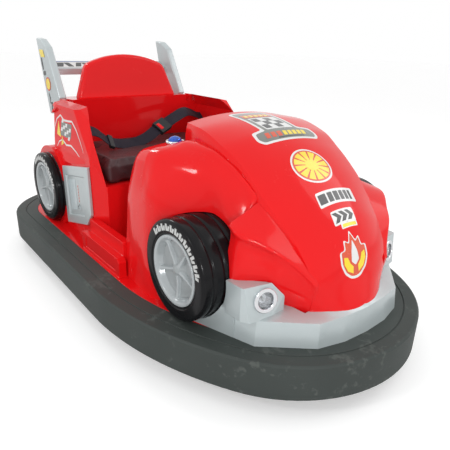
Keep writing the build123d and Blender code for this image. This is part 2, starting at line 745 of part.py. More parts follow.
def lamp_lens():
    lens = Pos(0, 0, -7) * Cylinder(LAMP_LENS, LAMP_DEPTH - LAMP_EDGE)
    lens = chamfer(lens.edges().group_by(Axis.Z)[-1], LAMP_EDGE)
    return lamp_plane() * Pos(0, 0, LAMP_RING / 2 + FIT) * lens


def jewel_bezel():
    ring = Cylinder(JEWEL_RADIUS, JEWEL_RIM) - Pos(0, 0, PAD_EDGE) * Cylinder(JEWEL_LENS + FIT, JEWEL_RIM)
    return Pos(FRONT_X + JEWEL_X, JEWEL_Y, DECK + jewel_h + JEWEL_RIM / 2 + FIT) * ring


# Jewel facets: height above the bezel's floor, share of the lens's radius
FACETS = ((0.0, 1.0), (6.0, 1.0), (12.0, 0.82), (16.0, 0.5), (18.0, 0.15))


def jewel_dome():
    faces = [Pos(0, 0, h) * RegularPolygon(JEWEL_LENS * share, JEWEL_SIDES) for h, share in FACETS]
    return Pos(FRONT_X + JEWEL_X, JEWEL_Y, DECK + jewel_h + PAD_EDGE + 2 * FIT) * loft(faces, ruled=True)


for name, s in SIDES:
    save(f"headlamp_bezel_{name}", on_side(lamp_bezel(), s))
    save(f"headlamp_lens_{name}", on_side(lamp_lens(), s))
    save(f"jewel_bezel_{name}", on_side(jewel_bezel(), s))
    save(f"jewel_dome_{name}", on_side(jewel_dome(), s))


# Mock tyre section: distance from the inner or outer face, depth below the tread
def mock_tyre(x, radius, inner):
    rim_y = MOCK_OUTER - RIM_DEPTH
    points = ((inner, 0), (inner, radius - 8), (inner + 10, radius), (MOCK_OUTER - 14, radius),
              (MOCK_OUTER, radius - 20), (MOCK_OUTER, MOCK_RIM), (rim_y, MOCK_RIM), (rim_y, 0))
    tyre = revolve(make_face(Polyline(*[(0, y, r) for y, r in points], close=True)), Axis.Y, 360)
    keep = block(-radius - 1, radius + 1, 0, HALF_WIDTH, MOCK_SINK + FIT - radius, radius + 1)
    return Pos(x, 0, DECK + radius - MOCK_SINK) * (tyre & keep)


def mock_rim(x, radius):
    back = MOCK_OUTER - RIM_DEPTH
    face = MOCK_OUTER - 2
    edge, lip = MOCK_RIM - FIT, MOCK_RIM - RIM_LIP
    dish = back + 14
    points = ((back + FIT, 0), (back + FIT, edge), (face, edge), (face, lip), (dish, lip - 8), (dish, 0))
    body = revolve(make_face(Polyline(*[(0, y, r) for y, r in points], close=True)), Axis.Y, 360)
    reach = MOCK_RIM - RIM_LIP - 2
    for k in range(SPOKES):
        body += Rot(0, 360 / SPOKES * k + 18, 0) * Pos(reach / 2, back + 19, 0) * Box(reach, 12, 22)
    body += Pos(0, back + 17, 0) * Rot(90, 0, 0) * Cylinder(20, 26)
    return Pos(x, 0, DECK + radius - MOCK_SINK) * body


MOCKS = (
    ("front", FRONT_X, MOCK_FRONT_RADIUS, MOCK_FRONT_INNER),
    ("rear", REAR_X, MOCK_REAR_RADIUS, MOCK_REAR_INNER),
)
for place, x, radius, inner in MOCKS:
    for name, s in SIDES:
        save(f"mock_tyre_{place}_{name}", on_side(mock_tyre(x, radius, inner), s))
        save(f"mock_rim_{place}_{name}", on_side(mock_rim(x, radius), s))

# Rear body. Side outlines: x, height above the deck
RIM_DROP = 10.0            # outer edge of the cockpit rim below its inner edge
RIM_Y = 369.0              # outer edge of the rim
RIM_INNER_Y = 320.0
SEAT_FRONT = 478.0         # seat box's front face, ahead of the rear wheels' centre
SEAT_REAR = 38.0           # cockpit's rear wall
FLANK = ((SEAT_FRONT, 0), (SEAT_FRONT, SEAT_H), (338, RIM_H - 47), (308, RIM_H - 24), (268, RIM_H),
         (83, RIM_H), (16, RIM_H - 45), (13, 0))
TAIL = ((SEAT_REAR, 0), (SEAT_REAR, RIM_H), (-152, RIM_H - 8), (-180, 430), (-207, 338), (-242, 238),
        (-257, 0))
# Front outlines: y, height above the deck
FLANK_FRONT = ((0, 0), (BODY_Y, 0), (BODY_Y, KNEE_H), (RIM_Y, RIM_H - RIM_DROP), (RIM_INNER_Y, RIM_H),
               (0, RIM_H))
COCKPIT_FRONT = ((-1, SEAT_H), (COCKPIT_Y, SEAT_H), (COCKPIT_Y - 3, 400), (344, RIM_H - 47),
                 (RIM_INNER_Y, RIM_H), (RIM_INNER_Y, RIM_H + 20), (-1, RIM_H + 20))
# Pillar's slanted face, by two points on its outer edge and one on its inner: x, y, height
PILLAR = ((PILLAR_X, BODY_Y, KNEE_H), (278.0, 380.0, 468.0), (338.0, 344.0, 466.0))
PANEL = ((0, 296), (0, 455), (78, 492), (236, 484), (352, 372), (372, 318), (250, 292), (120, 284))
PANEL_FRONT = ((400, 276), (BODY_Y, 284), (373, 330), (360, 500), (360, 530), (400, 530))
LIP_RADIUS = 178.0
LIP_Y = 396.0
LIP_FRONT = 138.0
BAY = (98.0, 368.0, 165.0, 180.0)      # battery: rear and front x, half width, height
BAY_GAP = 20.0


def rear_body():
    half = side(aft(FLANK), 0, HALF_WIDTH) & front(FLANK_FRONT, REAR_X - LENGTH, REAR_X + LENGTH)
    half -= front(COCKPIT_FRONT, REAR_X + SEAT_REAR, REAR_X + LENGTH) - rear_housing(SKIN * 2)
    outside = (REAR_X + SEAT_FRONT, HALF_WIDTH, DECK + RIM_H)
    a, b, c = [(REAR_X + x, y, DECK + h) for x, y, h in PILLAR]
    inner_foot = (REAR_X + SEAT_FRONT - RUN, COCKPIT_Y, DECK)
    half -= beyond(a, b, c, outside)
    half -= beyond(a, inner_foot, (inner_foot[0], inner_foot[1], DECK + KNEE_H), outside)
    half -= block(sill_rear, sill_rear + LENGTH, sill_in - FIT, HALF_WIDTH, DECK - 1, DECK + SILL_H + FIT)
    half -= side(aft(PANEL), 0, HALF_WIDTH) & front(PANEL_FRONT, REAR_X - LENGTH, REAR_X + LENGTH)
    half += side(aft(TAIL), 0, TAIL_Y)
    lip = cross_rod(REAR_X, TAIL_Y - 1, LIP_Y, DECK + MOCK_REAR_RADIUS - MOCK_SINK, LIP_RADIUS)
    half += lip & block(REAR_X - LENGTH, REAR_X + LIP_FRONT, 0, HALF_WIDTH, DECK, DECK + LENGTH)
    half -= rear_housing(FIT)
    half -= block(REAR_X + BAY[0] - BAY_GAP, REAR_X + BAY[1] + BAY_GAP, -1, BAY[2] + 5 * BAY_GAP,
                  DECK - 1, DECK + SEAT_H - BAY_GAP)
    return both(half)


save("rear_body", rear_body())

# Fins and the bar between them: x, height above the cockpit rim
FIN = ((-24, 1), (-140, 205), (-200, 236), (-253, 240), (-165, -81), (-100, -73))
BAR = ((-160, 86), (-160, 114), (-224, 144), (-224, 123))


def fin():
    return side([(x, RIM_H + h) for x, h in aft(FIN)], TAIL_Y + FIT, TAIL_Y + FIT + FIN_THICK)


for name, s in SIDES:
    save(f"fin_{name}", on_side(fin(), s))
save("spoiler_bar", side([(x, RIM_H + h) for x, h in aft(BAR)], -TAIL_Y, TAIL_Y))

# Seat back: half widths at its foot and shoulders, shoulder height above the rim, thickness and lean
BACK_FOOT = 246.0
BACK_SHOULDER = 192.0
BACK_SHOULDER_H = 138.0
BACK_CORNER = 44.0
BACK_THICK = 58.0
BACK_LEAN = 40.0
BACK_X = 12.0


def seat_back():
    z = DECK + RIM_H + FIT
    x = REAR_X + BACK_X
    top = z + BACK_SHOULDER_H
    arc = ThreePointArc((0, BACK_SHOULDER, top), (0, 0, z + BACK_HEIGHT), (0, -BACK_SHOULDER, top))
    rest = Polyline((0, -BACK_SHOULDER, top), (0, -BACK_FOOT, z), (0, BACK_FOOT, z), (0, BACK_SHOULDER, top))
    face = make_face(Wire([arc] + list(rest.edges())))
    body = Pos(x - 3 * BACK_THICK, 0, 0) * extrude(face, 4 * BACK_THICK, dir=(1, 0, 0))
    body = fillet([e for e in body.edges().filter_by(Axis.X) if e.center().Z > top - 1], BACK_CORNER)
    low, high = RIM_H, RIM_H + BACK_HEIGHT + 10
    lean = [(x, low), (x - BACK_LEAN, high), (x - BACK_LEAN - 0.7 * BACK_THICK, high), (x - BACK_THICK, low)]
    return body & side(lean, -HALF_WIDTH, HALF_WIDTH)


save("seat_back", seat_back())

# Side panels with a sunk field: x, height above the deck
VENT = ((148, 268), (408, 316), (413, 130), (366, 76), (153, 22))
VENT_FIELD = ((178, 235), (373, 270), (378, 140), (348, 108), (182, 66))
VENT_THICK = 12.0
VENT_SINK = 5.0


def side_vent():
    y = BODY_Y + FIT + VENT_THICK
    return side(aft(VENT), BODY_Y + FIT, y) - side(aft(VENT_FIELD), y - VENT_SINK, y + 1)


for name, s in SIDES:
    save(f"side_vent_{name}", on_side(side_vent(), s))

CUSHION_REAR = 4.0         # cushion's gap to the cockpit's rear wall
CUSHION_SIDE = 3.0         # and to its side walls
HOUSE_X = 168.0            # cushion's cut round the wheel house
HOUSE_Y = 285.0


def seat_cushion():
    low = DECK + SEAT_H + FIT
    rear, nose = REAR_X + SEAT_REAR + CUSHION_REAR, REAR_X + SEAT_FRONT
    half = block(rear, nose, 0, COCKPIT_Y - CUSHION_SIDE, low, low + CUSHION_THICK)
    half -= block(rear - 1, REAR_X + HOUSE_X, HOUSE_Y, COCKPIT_Y, low - 1, low + 2 * CUSHION_THICK)
    return both(half)


save("seat_cushion", seat_cushion())
save("battery_pack", block(REAR_X + BAY[0], REAR_X + BAY[1], -BAY[2], BAY[2], DECK + FIT, DECK + BAY[3]))

# Lap belt route across the seat: x from the rear wheels' centre, y, height above the deck
BELT_WIDTH = 50.0
BELT_THICK = 3.0
BELT_RIGHT = ((288, -346, 428), (288, -334, 428), (276, -292, 414), (268, -232, 370), (258, -130, 352),
              (240, -50, 366), (221.8, 5.7, 389), (209.3, 41.1, 400.7))
BELT_LEFT = ((208.7, 42.9, 401.3), (196.2, 78.3, 413), (178, 130, 430), (138, 215, 446), (98, 290, 428),
             (88, 334, 410), (88, 348.5, 410))
BELT_LEAN = (0.77, 0.0, -0.64)     # along the webbing's width, front edge low
# Fittings: length, width, thickness, webbing's gap to the walls of the slot
BUCKLE = (66.0, 62.0, 22.0, 2.0)
SLIDE = (22.0, 62.0, 14.0, 3.5)


def belt_frame(points, i):
    """Plane across the webbing at a point of its route, X along the width."""
    here = Vector(*points[i])
    ahead = Vector(*points[min(i + 1, len(points) - 1)]) - Vector(*points[max(i - 1, 0)])
    lean = Vector(*BELT_LEAN)
    across = lean - ahead.normalized() * lean.dot(ahead.normalized())
    return Plane(origin=here, x_dir=across, z_dir=ahead)


def belt_points(route):
    return [(x, y, DECK + h) for x, y, h in aft(route)]


def belt(route):
    points = belt_points(route)
    webbing = Rectangle(BELT_WIDTH, BELT_THICK)
    return loft([belt_frame(points, i) * webbing for i in range(len(points))], ruled=True)


def belt_fitting(route, i, size):
    """Block round the webbing, with a slot that the webbing passes through."""
    length, width, thick, gap = size
    frame = belt_frame(belt_points(route), i)
    slot = Box(BELT_WIDTH + 2 * gap, BELT_THICK + 2 * gap, 2 * length)
    return frame * (Box(width, thick, length) - slot)


save("belt_right", belt(BELT_RIGHT))
save("belt_left", belt(BELT_LEFT))
save("belt_buckle", belt_fitting(BELT_LEFT, 0, BUCKLE))
save("belt_adjuster", belt_fitting(BELT_RIGHT, 3, SLIDE))

# Foot pedal on the floor: foot plate and tread outlines, x from the front wheels' centre
PEDAL_Y = (-110.0, -40.0)
PEDAL_FOOT = ((-183, 0), (-103, 0), (-103, 6), (-183, 6))
PEDAL_TREAD = ((-173, 5), (-161, 5), (-111, 86), (-123, 92))
save("pedal", side(fore(PEDAL_FOOT), *PEDAL_Y) + side(fore(PEDAL_TREAD), PEDAL_Y[0] + 5, PEDAL_Y[1] - 5))
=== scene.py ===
import math

import bmesh
import bpy
import numpy as np
from bpy.props import FloatProperty, FloatVectorProperty, IntProperty, PointerProperty
from mathutils import Matrix, Vector


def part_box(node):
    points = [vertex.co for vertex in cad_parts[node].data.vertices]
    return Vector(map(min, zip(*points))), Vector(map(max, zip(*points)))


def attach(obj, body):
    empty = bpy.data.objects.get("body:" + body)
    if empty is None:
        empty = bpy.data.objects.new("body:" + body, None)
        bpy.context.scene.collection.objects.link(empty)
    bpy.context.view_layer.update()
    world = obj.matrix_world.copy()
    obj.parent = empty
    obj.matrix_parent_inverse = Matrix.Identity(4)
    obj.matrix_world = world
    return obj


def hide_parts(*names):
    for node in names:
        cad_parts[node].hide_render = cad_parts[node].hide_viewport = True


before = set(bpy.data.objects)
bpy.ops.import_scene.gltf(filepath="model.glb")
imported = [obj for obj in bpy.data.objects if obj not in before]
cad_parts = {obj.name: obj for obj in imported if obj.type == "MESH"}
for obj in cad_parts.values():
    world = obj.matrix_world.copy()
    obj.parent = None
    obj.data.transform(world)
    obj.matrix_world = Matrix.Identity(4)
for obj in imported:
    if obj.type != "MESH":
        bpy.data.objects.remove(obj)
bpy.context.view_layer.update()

bl_info = {
    "name": "Racing bumper car",
    "version": (1, 0, 0),
    "blender": (4, 5, 0),
    "location": "View3D > Sidebar > Bumper car",
    "description": "Gelcoat body, wheels, seat, belts and decals of a battery bumper car",
    "category": "Object",
}

MM = 0.001
# In millimetres: the deck's height, and x of the front and rear mock wheels' centres
DECK_OVER_TUB = 6.0
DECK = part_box("lower_tub")[0].z / MM + DECK_OVER_TUB
FRONT = sum(c.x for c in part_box("mock_tyre_front_left")) / 2 / MM
REAR = sum(c.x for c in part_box("mock_tyre_rear_left")) / 2 / MM
MIRRORED = (("left", 1), ("right", -1))
FINISHES = {}
TREES = {}
SURFACES = {}


# Shader node groups

def shader_group(name, inputs, outputs):
    """Empty shader node group with its sockets, its input node and its output node."""
    tree = bpy.data.node_groups.new(name, "ShaderNodeTree")
    for label, kind, value in inputs:
        socket = tree.interface.new_socket(label, in_out="INPUT", socket_type=kind)
        socket.default_value = value
    for label, kind in outputs:
        tree.interface.new_socket(label, in_out="OUTPUT", socket_type=kind)
    return tree, tree.nodes.new("NodeGroupInput"), tree.nodes.new("NodeGroupOutput")


def feed(tree, socket, value):
    """Links a socket to another one, or sets its value."""
    if isinstance(value, bpy.types.NodeSocket):
        tree.links.new(value, socket)
    else:
        socket.default_value = value


def noise(tree, scale, detail=3.0):
    """Noise texture on Object coordinates, its scale fed by a socket or set to a number."""
    place = tree.nodes.new("ShaderNodeTexCoord")
    node = tree.nodes.new("ShaderNodeTexNoise")
    tree.links.new(place.outputs["Object"], node.inputs["Vector"])
    node.inputs["Detail"].default_value = detail
    feed(tree, node.inputs["Scale"], scale)
    return node


def maths(tree, operation, *values):
    """Result of one operation on sockets or numbers."""
    node = tree.nodes.new("ShaderNodeMath")
    node.operation = operation
    for socket, value in zip(node.inputs, values):
        feed(tree, socket, value)
    return node.outputs[0]


def colour_mix(tree, factor, first, second):
    """Mixture of two colours, each a socket or a value."""
    node = tree.nodes.new("ShaderNodeMix")
    node.data_type = "RGBA"
    for socket, value in ((node.inputs[0], factor), (node.inputs[6], first), (node.inputs[7], second)):
        feed(tree, socket, value)
    return node.outputs[2]


def build_mottle():
    """Colour that drifts between two shades, as a sprayed or worn surface does."""
    tree, start, end = shader_group(
        "mottle",
        [("Colour", "NodeSocketColor", (0.5, 0.5, 0.5, 1)), ("Shade", "NodeSocketColor", (0.4, 0.4, 0.4, 1)),
         ("Scale", "NodeSocketFloat", 8.0), ("Amount", "NodeSocketFloat", 0.4)],
        [("Colour", "NodeSocketColor")])
    cloud = noise(tree, start.outputs["Scale"], 4.0)
    share = maths(tree, "MULTIPLY", cloud.outputs["Fac"], start.outputs["Amount"])
    mixed = colour_mix(tree, share, start.outputs["Colour"], start.outputs["Shade"])
    tree.links.new(mixed, end.inputs["Colour"])
    return tree


def build_scuffs():
    """Mask of rubbed streaks and specks, and a roughness that rises where they are."""
    tree, start, end = shader_group(
        "scuffs",
        [("Scale", "NodeSocketFloat", 12.0), ("Spread", "NodeSocketFloat", 0.6),
         ("Smooth", "NodeSocketFloat", 0.2), ("Rubbed", "NodeSocketFloat", 0.5)],
        [("Mask", "NodeSocketFloat"), ("Roughness", "NodeSocketFloat")])
    broad = noise(tree, start.outputs["Scale"], 8.0)
    broad.inputs["Distortion"].default_value = 1.2
    fine = noise(tree, maths(tree, "MULTIPLY", start.outputs["Scale"], 7.0), 4.0)
    both = maths(tree, "MULTIPLY", broad.outputs["Fac"], maths(tree, "ADD", fine.outputs["Fac"], 0.5))
    ramp = tree.nodes.new("ShaderNodeMapRange")
    tree.links.new(both, ramp.inputs["Value"])
    tree.links.new(start.outputs["Spread"], ramp.inputs["From Min"])
    tree.links.new(maths(tree, "ADD", start.outputs["Spread"], 0.12), ramp.inputs["From Max"])
    mask = ramp.outputs["Result"]
    rise = maths(tree, "SUBTRACT", start.outputs["Rubbed"], start.outputs["Smooth"])
    rough = maths(tree, "MULTIPLY_ADD", mask, rise, start.outputs["Smooth"])
    tree.links.new(mask, end.inputs["Mask"])
    tree.links.new(rough, end.inputs["Roughness"])
    return tree


def build_grain():
    """Normal of a fine surface texture."""
    tree, start, end = shader_group(
        "grain",
        [("Scale", "NodeSocketFloat", 300.0), ("Strength", "NodeSocketFloat", 0.1),
         ("Depth", "NodeSocketFloat", 0.001)],
        [("Normal", "NodeSocketVector")])
    fine = noise(tree, start.outputs["Scale"], 2.0)
    bump = tree.nodes.new("ShaderNodeBump")
    tree.links.new(fine.outputs["Fac"], bump.inputs["Height"])
    tree.links.new(start.outputs["Strength"], bump.inputs["Strength"])
    tree.links.new(start.outputs["Depth"], bump.inputs["Distance"])
    tree.links.new(bump.outputs["Normal"], end.inputs["Normal"])
    return tree


def build_pebble():
    """Normal of a leather or moulded vinyl pebble."""
    tree, start, end = shader_group(
        "pebble",
        [("Scale", "NodeSocketFloat", 400.0), ("Strength", "NodeSocketFloat", 0.3),
         ("Depth", "NodeSocketFloat", 0.0005)],
        [("Normal", "NodeSocketVector")])
    place = tree.nodes.new("ShaderNodeTexCoord")
    cells = tree.nodes.new("ShaderNodeTexVoronoi")
    tree.links.new(place.outputs["Object"], cells.inputs["Vector"])
    tree.links.new(start.outputs["Scale"], cells.inputs["Scale"])
    bump = tree.nodes.new("ShaderNodeBump")
    bump.invert = True
    tree.links.new(cells.outputs["Distance"], bump.inputs["Height"])
    tree.links.new(start.outputs["Strength"], bump.inputs["Strength"])
    tree.links.new(start.outputs["Depth"], bump.inputs["Distance"])
    tree.links.new(bump.outputs["Normal"], end.inputs["Normal"])
    return tree


GROUPS = {}


def placed_group(tree, name, **values):
    """A shader group's node in a material, with its values."""
    if name not in GROUPS:
        GROUPS[name] = {"mottle": build_mottle, "scuffs": build_scuffs, "grain": build_grain,
                        "pebble": build_pebble}[name]()
    node = tree.nodes.new("ShaderNodeGroup")
    node.node_tree = GROUPS[name]
    for label, value in values.items():
        node.inputs[label].default_value = value
    return node


def plain_colour(colour):
    """Colour with full alpha."""
    return (*colour[:3], 1.0)


def surface(name, colour, shade, mottled, scuffed, texture, worn=None, **shader):
    """Material of one finish: mottled = (scale, amount), scuffed = (scale, spread, smooth, rubbed),
    texture = (group, scale, strength, depth), worn = colour of the rubbed places."""
    material = bpy.data.materials.new(name)
    material.use_nodes = True
    tree = material.node_tree
    skin = tree.nodes["Principled BSDF"]
    cloud = placed_group(tree, "mottle", Colour=plain_colour(colour), Shade=plain_colour(shade),
                         Scale=mottled[0], Amount=mottled[1])
    rub = placed_group(tree, "scuffs", Scale=scuffed[0], Spread=scuffed[1], Smooth=scuffed[2],
                       Rubbed=scuffed[3])
    tint = cloud.outputs["Colour"]
    if worn:
        tint = colour_mix(tree, rub.outputs["Mask"], tint, plain_colour(worn))
    fine = placed_group(tree, texture[0], Scale=texture[1], Strength=texture[2], Depth=texture[3])
    tree.links.new(tint, skin.inputs["Base Color"])
    tree.links.new(rub.outputs["Roughness"], skin.inputs["Roughness"])
    tree.links.new(fine.outputs["Normal"], skin.inputs["Normal"])
    for label, value in shader.items():
        skin.inputs[label.replace("_", " ")].default_value = value
    return material


# Inks of the films: name, colour, its darker shade, scale of the mottle, roughness
INKS = (
    ("white", (0.80, 0.80, 0.79), (0.68, 0.68, 0.67), 20, 0.2),
    ("grey", (0.19, 0.20, 0.18), (0.14, 0.15, 0.135), 20, 0.22),
    ("black", (0.015, 0.015, 0.016), (0.03, 0.03, 0.03), 20, 0.2),
    ("yellow", (0.92, 0.72, 0.02), (0.84, 0.58, 0.02), 24, 0.2),
    ("orange", (0.72, 0.08, 0.02), (0.60, 0.05, 0.02), 24, 0.2),
    ("blue", (0.05, 0.13, 0.45), (0.04, 0.09, 0.32), 24, 0.2),
)


def build_finishes(paint):
    """Every material of the car, by the name of its finish."""
    red, silver = paint.gelcoat, paint.silver
    grain, pebble = "grain", "pebble"
    make = {
        "red": surface("red_gelcoat", red, [c * 0.86 for c in red], (5, 0.5), (9, 0.62, 0.12, 0.28),
                       (grain, 26, 0.12, 0.002), Coat_Weight=0.25, Coat_Roughness=0.03,
                       Specular_IOR_Level=0.1),
        "silver": surface("silver_paint", silver, [c * 0.8 for c in silver], (7, 0.5), (14, 0.6, 0.28, 0.5),
                          (grain, 700, 0.08, 0.0004), Metallic=0.25, Coat_Weight=0.3, Coat_Roughness=0.12),
        "rubber": surface("bumper_rubber", paint.rubber, [c * 1.7 for c in paint.rubber], (6, 0.6),
                          (11, 0.58, 0.6, 0.85), (grain, 420, 0.35, 0.0008), worn=(0.085, 0.095, 0.088),
                          Specular_IOR_Level=0.3),
        "tyre": surface("tyre_paint", (0.006, 0.006, 0.007), (0.012, 0.012, 0.013), (12, 0.5),
                        (16, 0.62, 0.2, 0.4), (grain, 160, 0.1, 0.0006), Coat_Weight=0.08,
                        Specular_IOR_Level=0.12),
        "marks": surface("tyre_marks", (0.62, 0.63, 0.62), (0.40, 0.41, 0.40), (60, 0.6),
                         (70, 0.55, 0.4, 0.7), (grain, 300, 0.1, 0.0004)),
        # The rim's lip and ribs get a lighter grey as painted highlight; the dish gets a darker copy of the
        # same grey as painted shade of its recess.
        "rim": surface("rim_paint_with_painted_highlight", (0.42, 0.45, 0.46), (0.37, 0.40, 0.41), (14, 0.4), (20, 0.62, 0.2, 0.4),
                       (grain, 500, 0.06, 0.0004), Metallic=0.1),
        "dish": surface("rim_dish_paint_with_painted_shade", (0.33, 0.355, 0.36), (0.28, 0.30, 0.31), (14, 0.4),
                        (20, 0.62, 0.3, 0.5), (grain, 500, 0.06, 0.0004), Metallic=0.1),
        "bowl": surface("lamp_bowl", (0.34, 0.35, 0.37), (0.26, 0.27, 0.28), (30, 0.4), (40, 0.66, 0.12, 0.3),
                        (grain, 200, 0.03, 0.0003), Metallic=0.9),
        "chrome": surface("chrome", (0.80, 0.81, 0.83), (0.66, 0.67, 0.70), (30, 0.4), (40, 0.66, 0.06, 0.25),
                          (grain, 200, 0.03, 0.0003), Metallic=1.0),
        "vinyl": surface("seat_vinyl", paint.vinyl, [c * 1.6 for c in paint.vinyl], (9, 0.5),
                         (14, 0.6, 0.38, 0.6), (pebble, 480, 0.5, 0.0004), Specular_IOR_Level=0.3),
        "webbing": surface("webbing", (0.013, 0.009, 0.017), (0.024, 0.018, 0.030), (60, 0.6),
                           (50, 0.6, 0.6, 0.8), (pebble, 900, 0.6, 0.0004), Sheen_Weight=0.05,
                           Specular_IOR_Level=0.15),
        "plastic": surface("black_plastic", (0.017, 0.017, 0.019), (0.035, 0.035, 0.037), (25, 0.5),
                           (30, 0.6, 0.35, 0.6), (pebble, 700, 0.25, 0.0003), Specular_IOR_Level=0.25),
        "steel": surface("black_steel", (0.03, 0.03, 0.032), (0.055, 0.05, 0.047), (12, 0.6),
                         (18, 0.58, 0.4, 0.7), (grain, 260, 0.2, 0.0006), worn=(0.12, 0.09, 0.07)),
        "zinc": surface("zinc_steel", (0.55, 0.56, 0.58), (0.40, 0.41, 0.42), (22, 0.6),
                        (30, 0.58, 0.3, 0.55), (grain, 300, 0.12, 0.0004), Metallic=0.9),
        "motor": surface("motor_grey", (0.16, 0.17, 0.185), (0.11, 0.115, 0.12), (14, 0.6),
                         (20, 0.58, 0.35, 0.6), (grain, 300, 0.12, 0.0005), Metallic=0.2),
        "tread": surface("drive_tread", (0.028, 0.028, 0.028), (0.06, 0.058, 0.055), (18, 0.6),
                         (20, 0.55, 0.7, 0.9), (grain, 500, 0.4, 0.0006)),
        "grey_rubber": surface("caster_tread", (0.23, 0.235, 0.24), (0.15, 0.15, 0.155), (22, 0.6),
                               (30, 0.55, 0.55, 0.8), (grain, 500, 0.25, 0.0005)),
        "vent_ink": surface("pale_film", (0.56, 0.64, 0.66), (0.45, 0.53, 0.55), (20, 0.5),
                            (40, 0.62, 0.25, 0.45), (grain, 300, 0.05, 0.0003), Coat_Weight=0.3),
        "clear": surface("clear_lens", (0.92, 0.94, 0.96), (0.85, 0.88, 0.9), (30, 0.3),
                         (40, 0.66, 0.03, 0.12), (grain, 90, 0.2, 0.0005),
                         Transmission_Weight=0.85, IOR=1.45),
        "jewel": surface("blue_lens", (0.03, 0.16, 0.75), (0.02, 0.10, 0.6), (40, 0.4),
                         (40, 0.66, 0.04, 0.15), (grain, 120, 0.1, 0.0005),
                         Transmission_Weight=0.55, IOR=1.5),
    }
    FINISHES.update(make)
    for ink, colour, shade, scale, smooth in INKS:
        FINISHES[ink + "_ink"] = surface(ink + "_film", colour, shade, (scale, 0.5), (40, 0.62, smooth, 0.4),
                                         (grain, 300, 0.05, 0.0003), Coat_Weight=0.4)


# Meshes

def smooth_mesh(mesh, angle=35.0):
    """Smooth shading, broken at edges sharper than an angle in degrees."""
    mesh.shade_smooth()
    mesh.set_sharp_from_angle(angle=math.radians(angle))


def settle(obj, finish, body="chassis", replaces=(), angle=35.0):
    """Gives a piece its finish, its shading and its body."""
    tidy_normals(obj)
    smooth_mesh(obj.data, angle)
    obj.data.materials.clear()
    obj.data.materials.append(FINISHES[finish])
    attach(obj, body)
    if replaces:
        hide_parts(*replaces)
    return obj


def tidy_normals(obj):
    """Merges doubled vertices and turns the faces outwards."""
    bm = bmesh.new()
    bm.from_mesh(obj.data)
    bmesh.ops.remove_doubles(bm, verts=bm.verts, dist=0.00002)
    bmesh.ops.recalc_face_normals(bm, faces=bm.faces)
    bm.to_mesh(obj.data)
    bm.free()


def linked(name, data):
    """New object in the scene, of a mesh, a lamp or a camera."""
    obj = bpy.data.objects.new(name, data)
    bpy.context.scene.collection.objects.link(obj)
    return obj


def applied(obj):
    """The object's evaluated mesh takes the place of its modifiers."""
    bpy.context.view_layer.update()
    graph = bpy.context.evaluated_depsgraph_get()
    mesh = bpy.data.meshes.new_from_object(obj.evaluated_get(graph))
    obj.modifiers.clear()
    obj.data = mesh
    return obj


def node_copy(node, name):
    """Merged copy of a node's mesh, its flat faces joined."""
    mesh = bpy.data.objects[node].data.copy()
    mesh.name = name
    mesh.materials.clear()
    obj = linked(name, mesh)
    bm = bmesh.new()
    bm.from_mesh(mesh)
    bmesh.ops.remove_doubles(bm, verts=bm.verts, dist=0.00002)
    bmesh.ops.dissolve_limit(bm, angle_limit=math.radians(1.5), verts=bm.verts, edges=bm.edges,
                             use_dissolve_boundaries=False)
    bmesh.ops.recalc_face_normals(bm, faces=bm.faces)
    bm.to_mesh(mesh)
    bm.free()
    return obj


def rounded_edges(obj, width, segments=3, angle=30.0):
    """Rounds the edges that are sharper than an angle, by a width in millimetres."""
    bevel = obj.modifiers.new("edges", "BEVEL")
    bevel.width = width * MM
    bevel.segments = segments
    bevel.limit_method = "ANGLE"
    bevel.angle_limit = math.radians(angle)
    bevel.use_clamp_overlap = True
    return applied(obj)


def flat_faces(obj):
    """Normals that follow the large faces, so that only the rounded edges turn the light."""
    level = obj.modifiers.new("flat_faces", "WEIGHTED_NORMAL")
    level.keep_sharp = True
    level.weight = 90
    return obj


def softened(node, finish, width, segments=3, body="chassis", angle=30.0):
    """Copy of a rigid node with rounded edges, shown in its place."""
    obj = rounded_edges(node_copy(node, node + "_skin"), width, segments, angle)
    return flat_faces(settle(obj, finish, body, (node,)))


def hull(points):
    """Convex form round points given in millimetres."""
    bm = bmesh.new()
    for p in points:
        bm.verts.new(tuple(c * MM for c in p))
    bmesh.ops.convex_hull(bm, input=bm.verts)
    mesh = bpy.data.meshes.new("hull")
    bm.to_mesh(mesh)
    bm.free()
    obj = linked("hull", mesh)
    tidy_normals(obj)
    return obj


def combined(obj, other, operation):
    """The object after a boolean with another one, which is used up."""
    boolean = obj.modifiers.new("boolean", "BOOLEAN")
    boolean.operation = operation
    boolean.solver = "EXACT"
    boolean.object = other
    applied(obj)
    bpy.data.objects.remove(other)
    return obj


# Sections of the cockpit's rim: (distance from the middle, height above the deck)
RIM_CORNER = ((308, 440), (308, 513), (322, 513), (322, 440))
RIM_SECTION = ((340.5, 470), (320.5, 513), (330, 511.5), (357, 505), (366, 495), (361, 480))
# Their ends: x from the rear wheels' centre
RIM_ENDS = ((-8, 37.5), (16, 90))
SEAT_BACK_SINK = 9.0


def rear_moulding(edge):
    """Rear body, with the fillets between the cockpit's rim and the tail that close the rim's corner."""
    obj = node_copy("rear_body", "rear_moulding")
    for _, side in MIRRORED:
        for ends, section in zip(RIM_ENDS, (RIM_CORNER, RIM_SECTION)):
            points = [(REAR + x, side * y, DECK + h) for x in ends for y, h in section]
            obj = combined(obj, hull(points), "UNION")
    rounded_edges(obj, edge, angle=20)
    return flat_faces(settle(obj, "red", replaces=("rear_body",)))


def seat_back(edge):
    """Seat back, its foot let into the rear body."""
    obj = node_copy("seat_back", "seat_back_moulding")
    foot = min(v.co.z for v in obj.data.vertices)
    for v in obj.data.vertices:
        if v.co.z < foot + MM:
            v.co.z -= SEAT_BACK_SINK * MM
    rounded_edges(obj, edge, 5, 25)
    return flat_faces(settle(obj, "red", replaces=("seat_back",)))


# Cushion, in metres: what it starts smaller by, how far it may swell, its gap to the walls and its crown
CUSHION_SHRINK = (0.016, 0.016, 0.012)
CUSHION_SWELL = 0.016
CUSHION_GAP = 0.0006
CUSHION_CROWN = 0.009
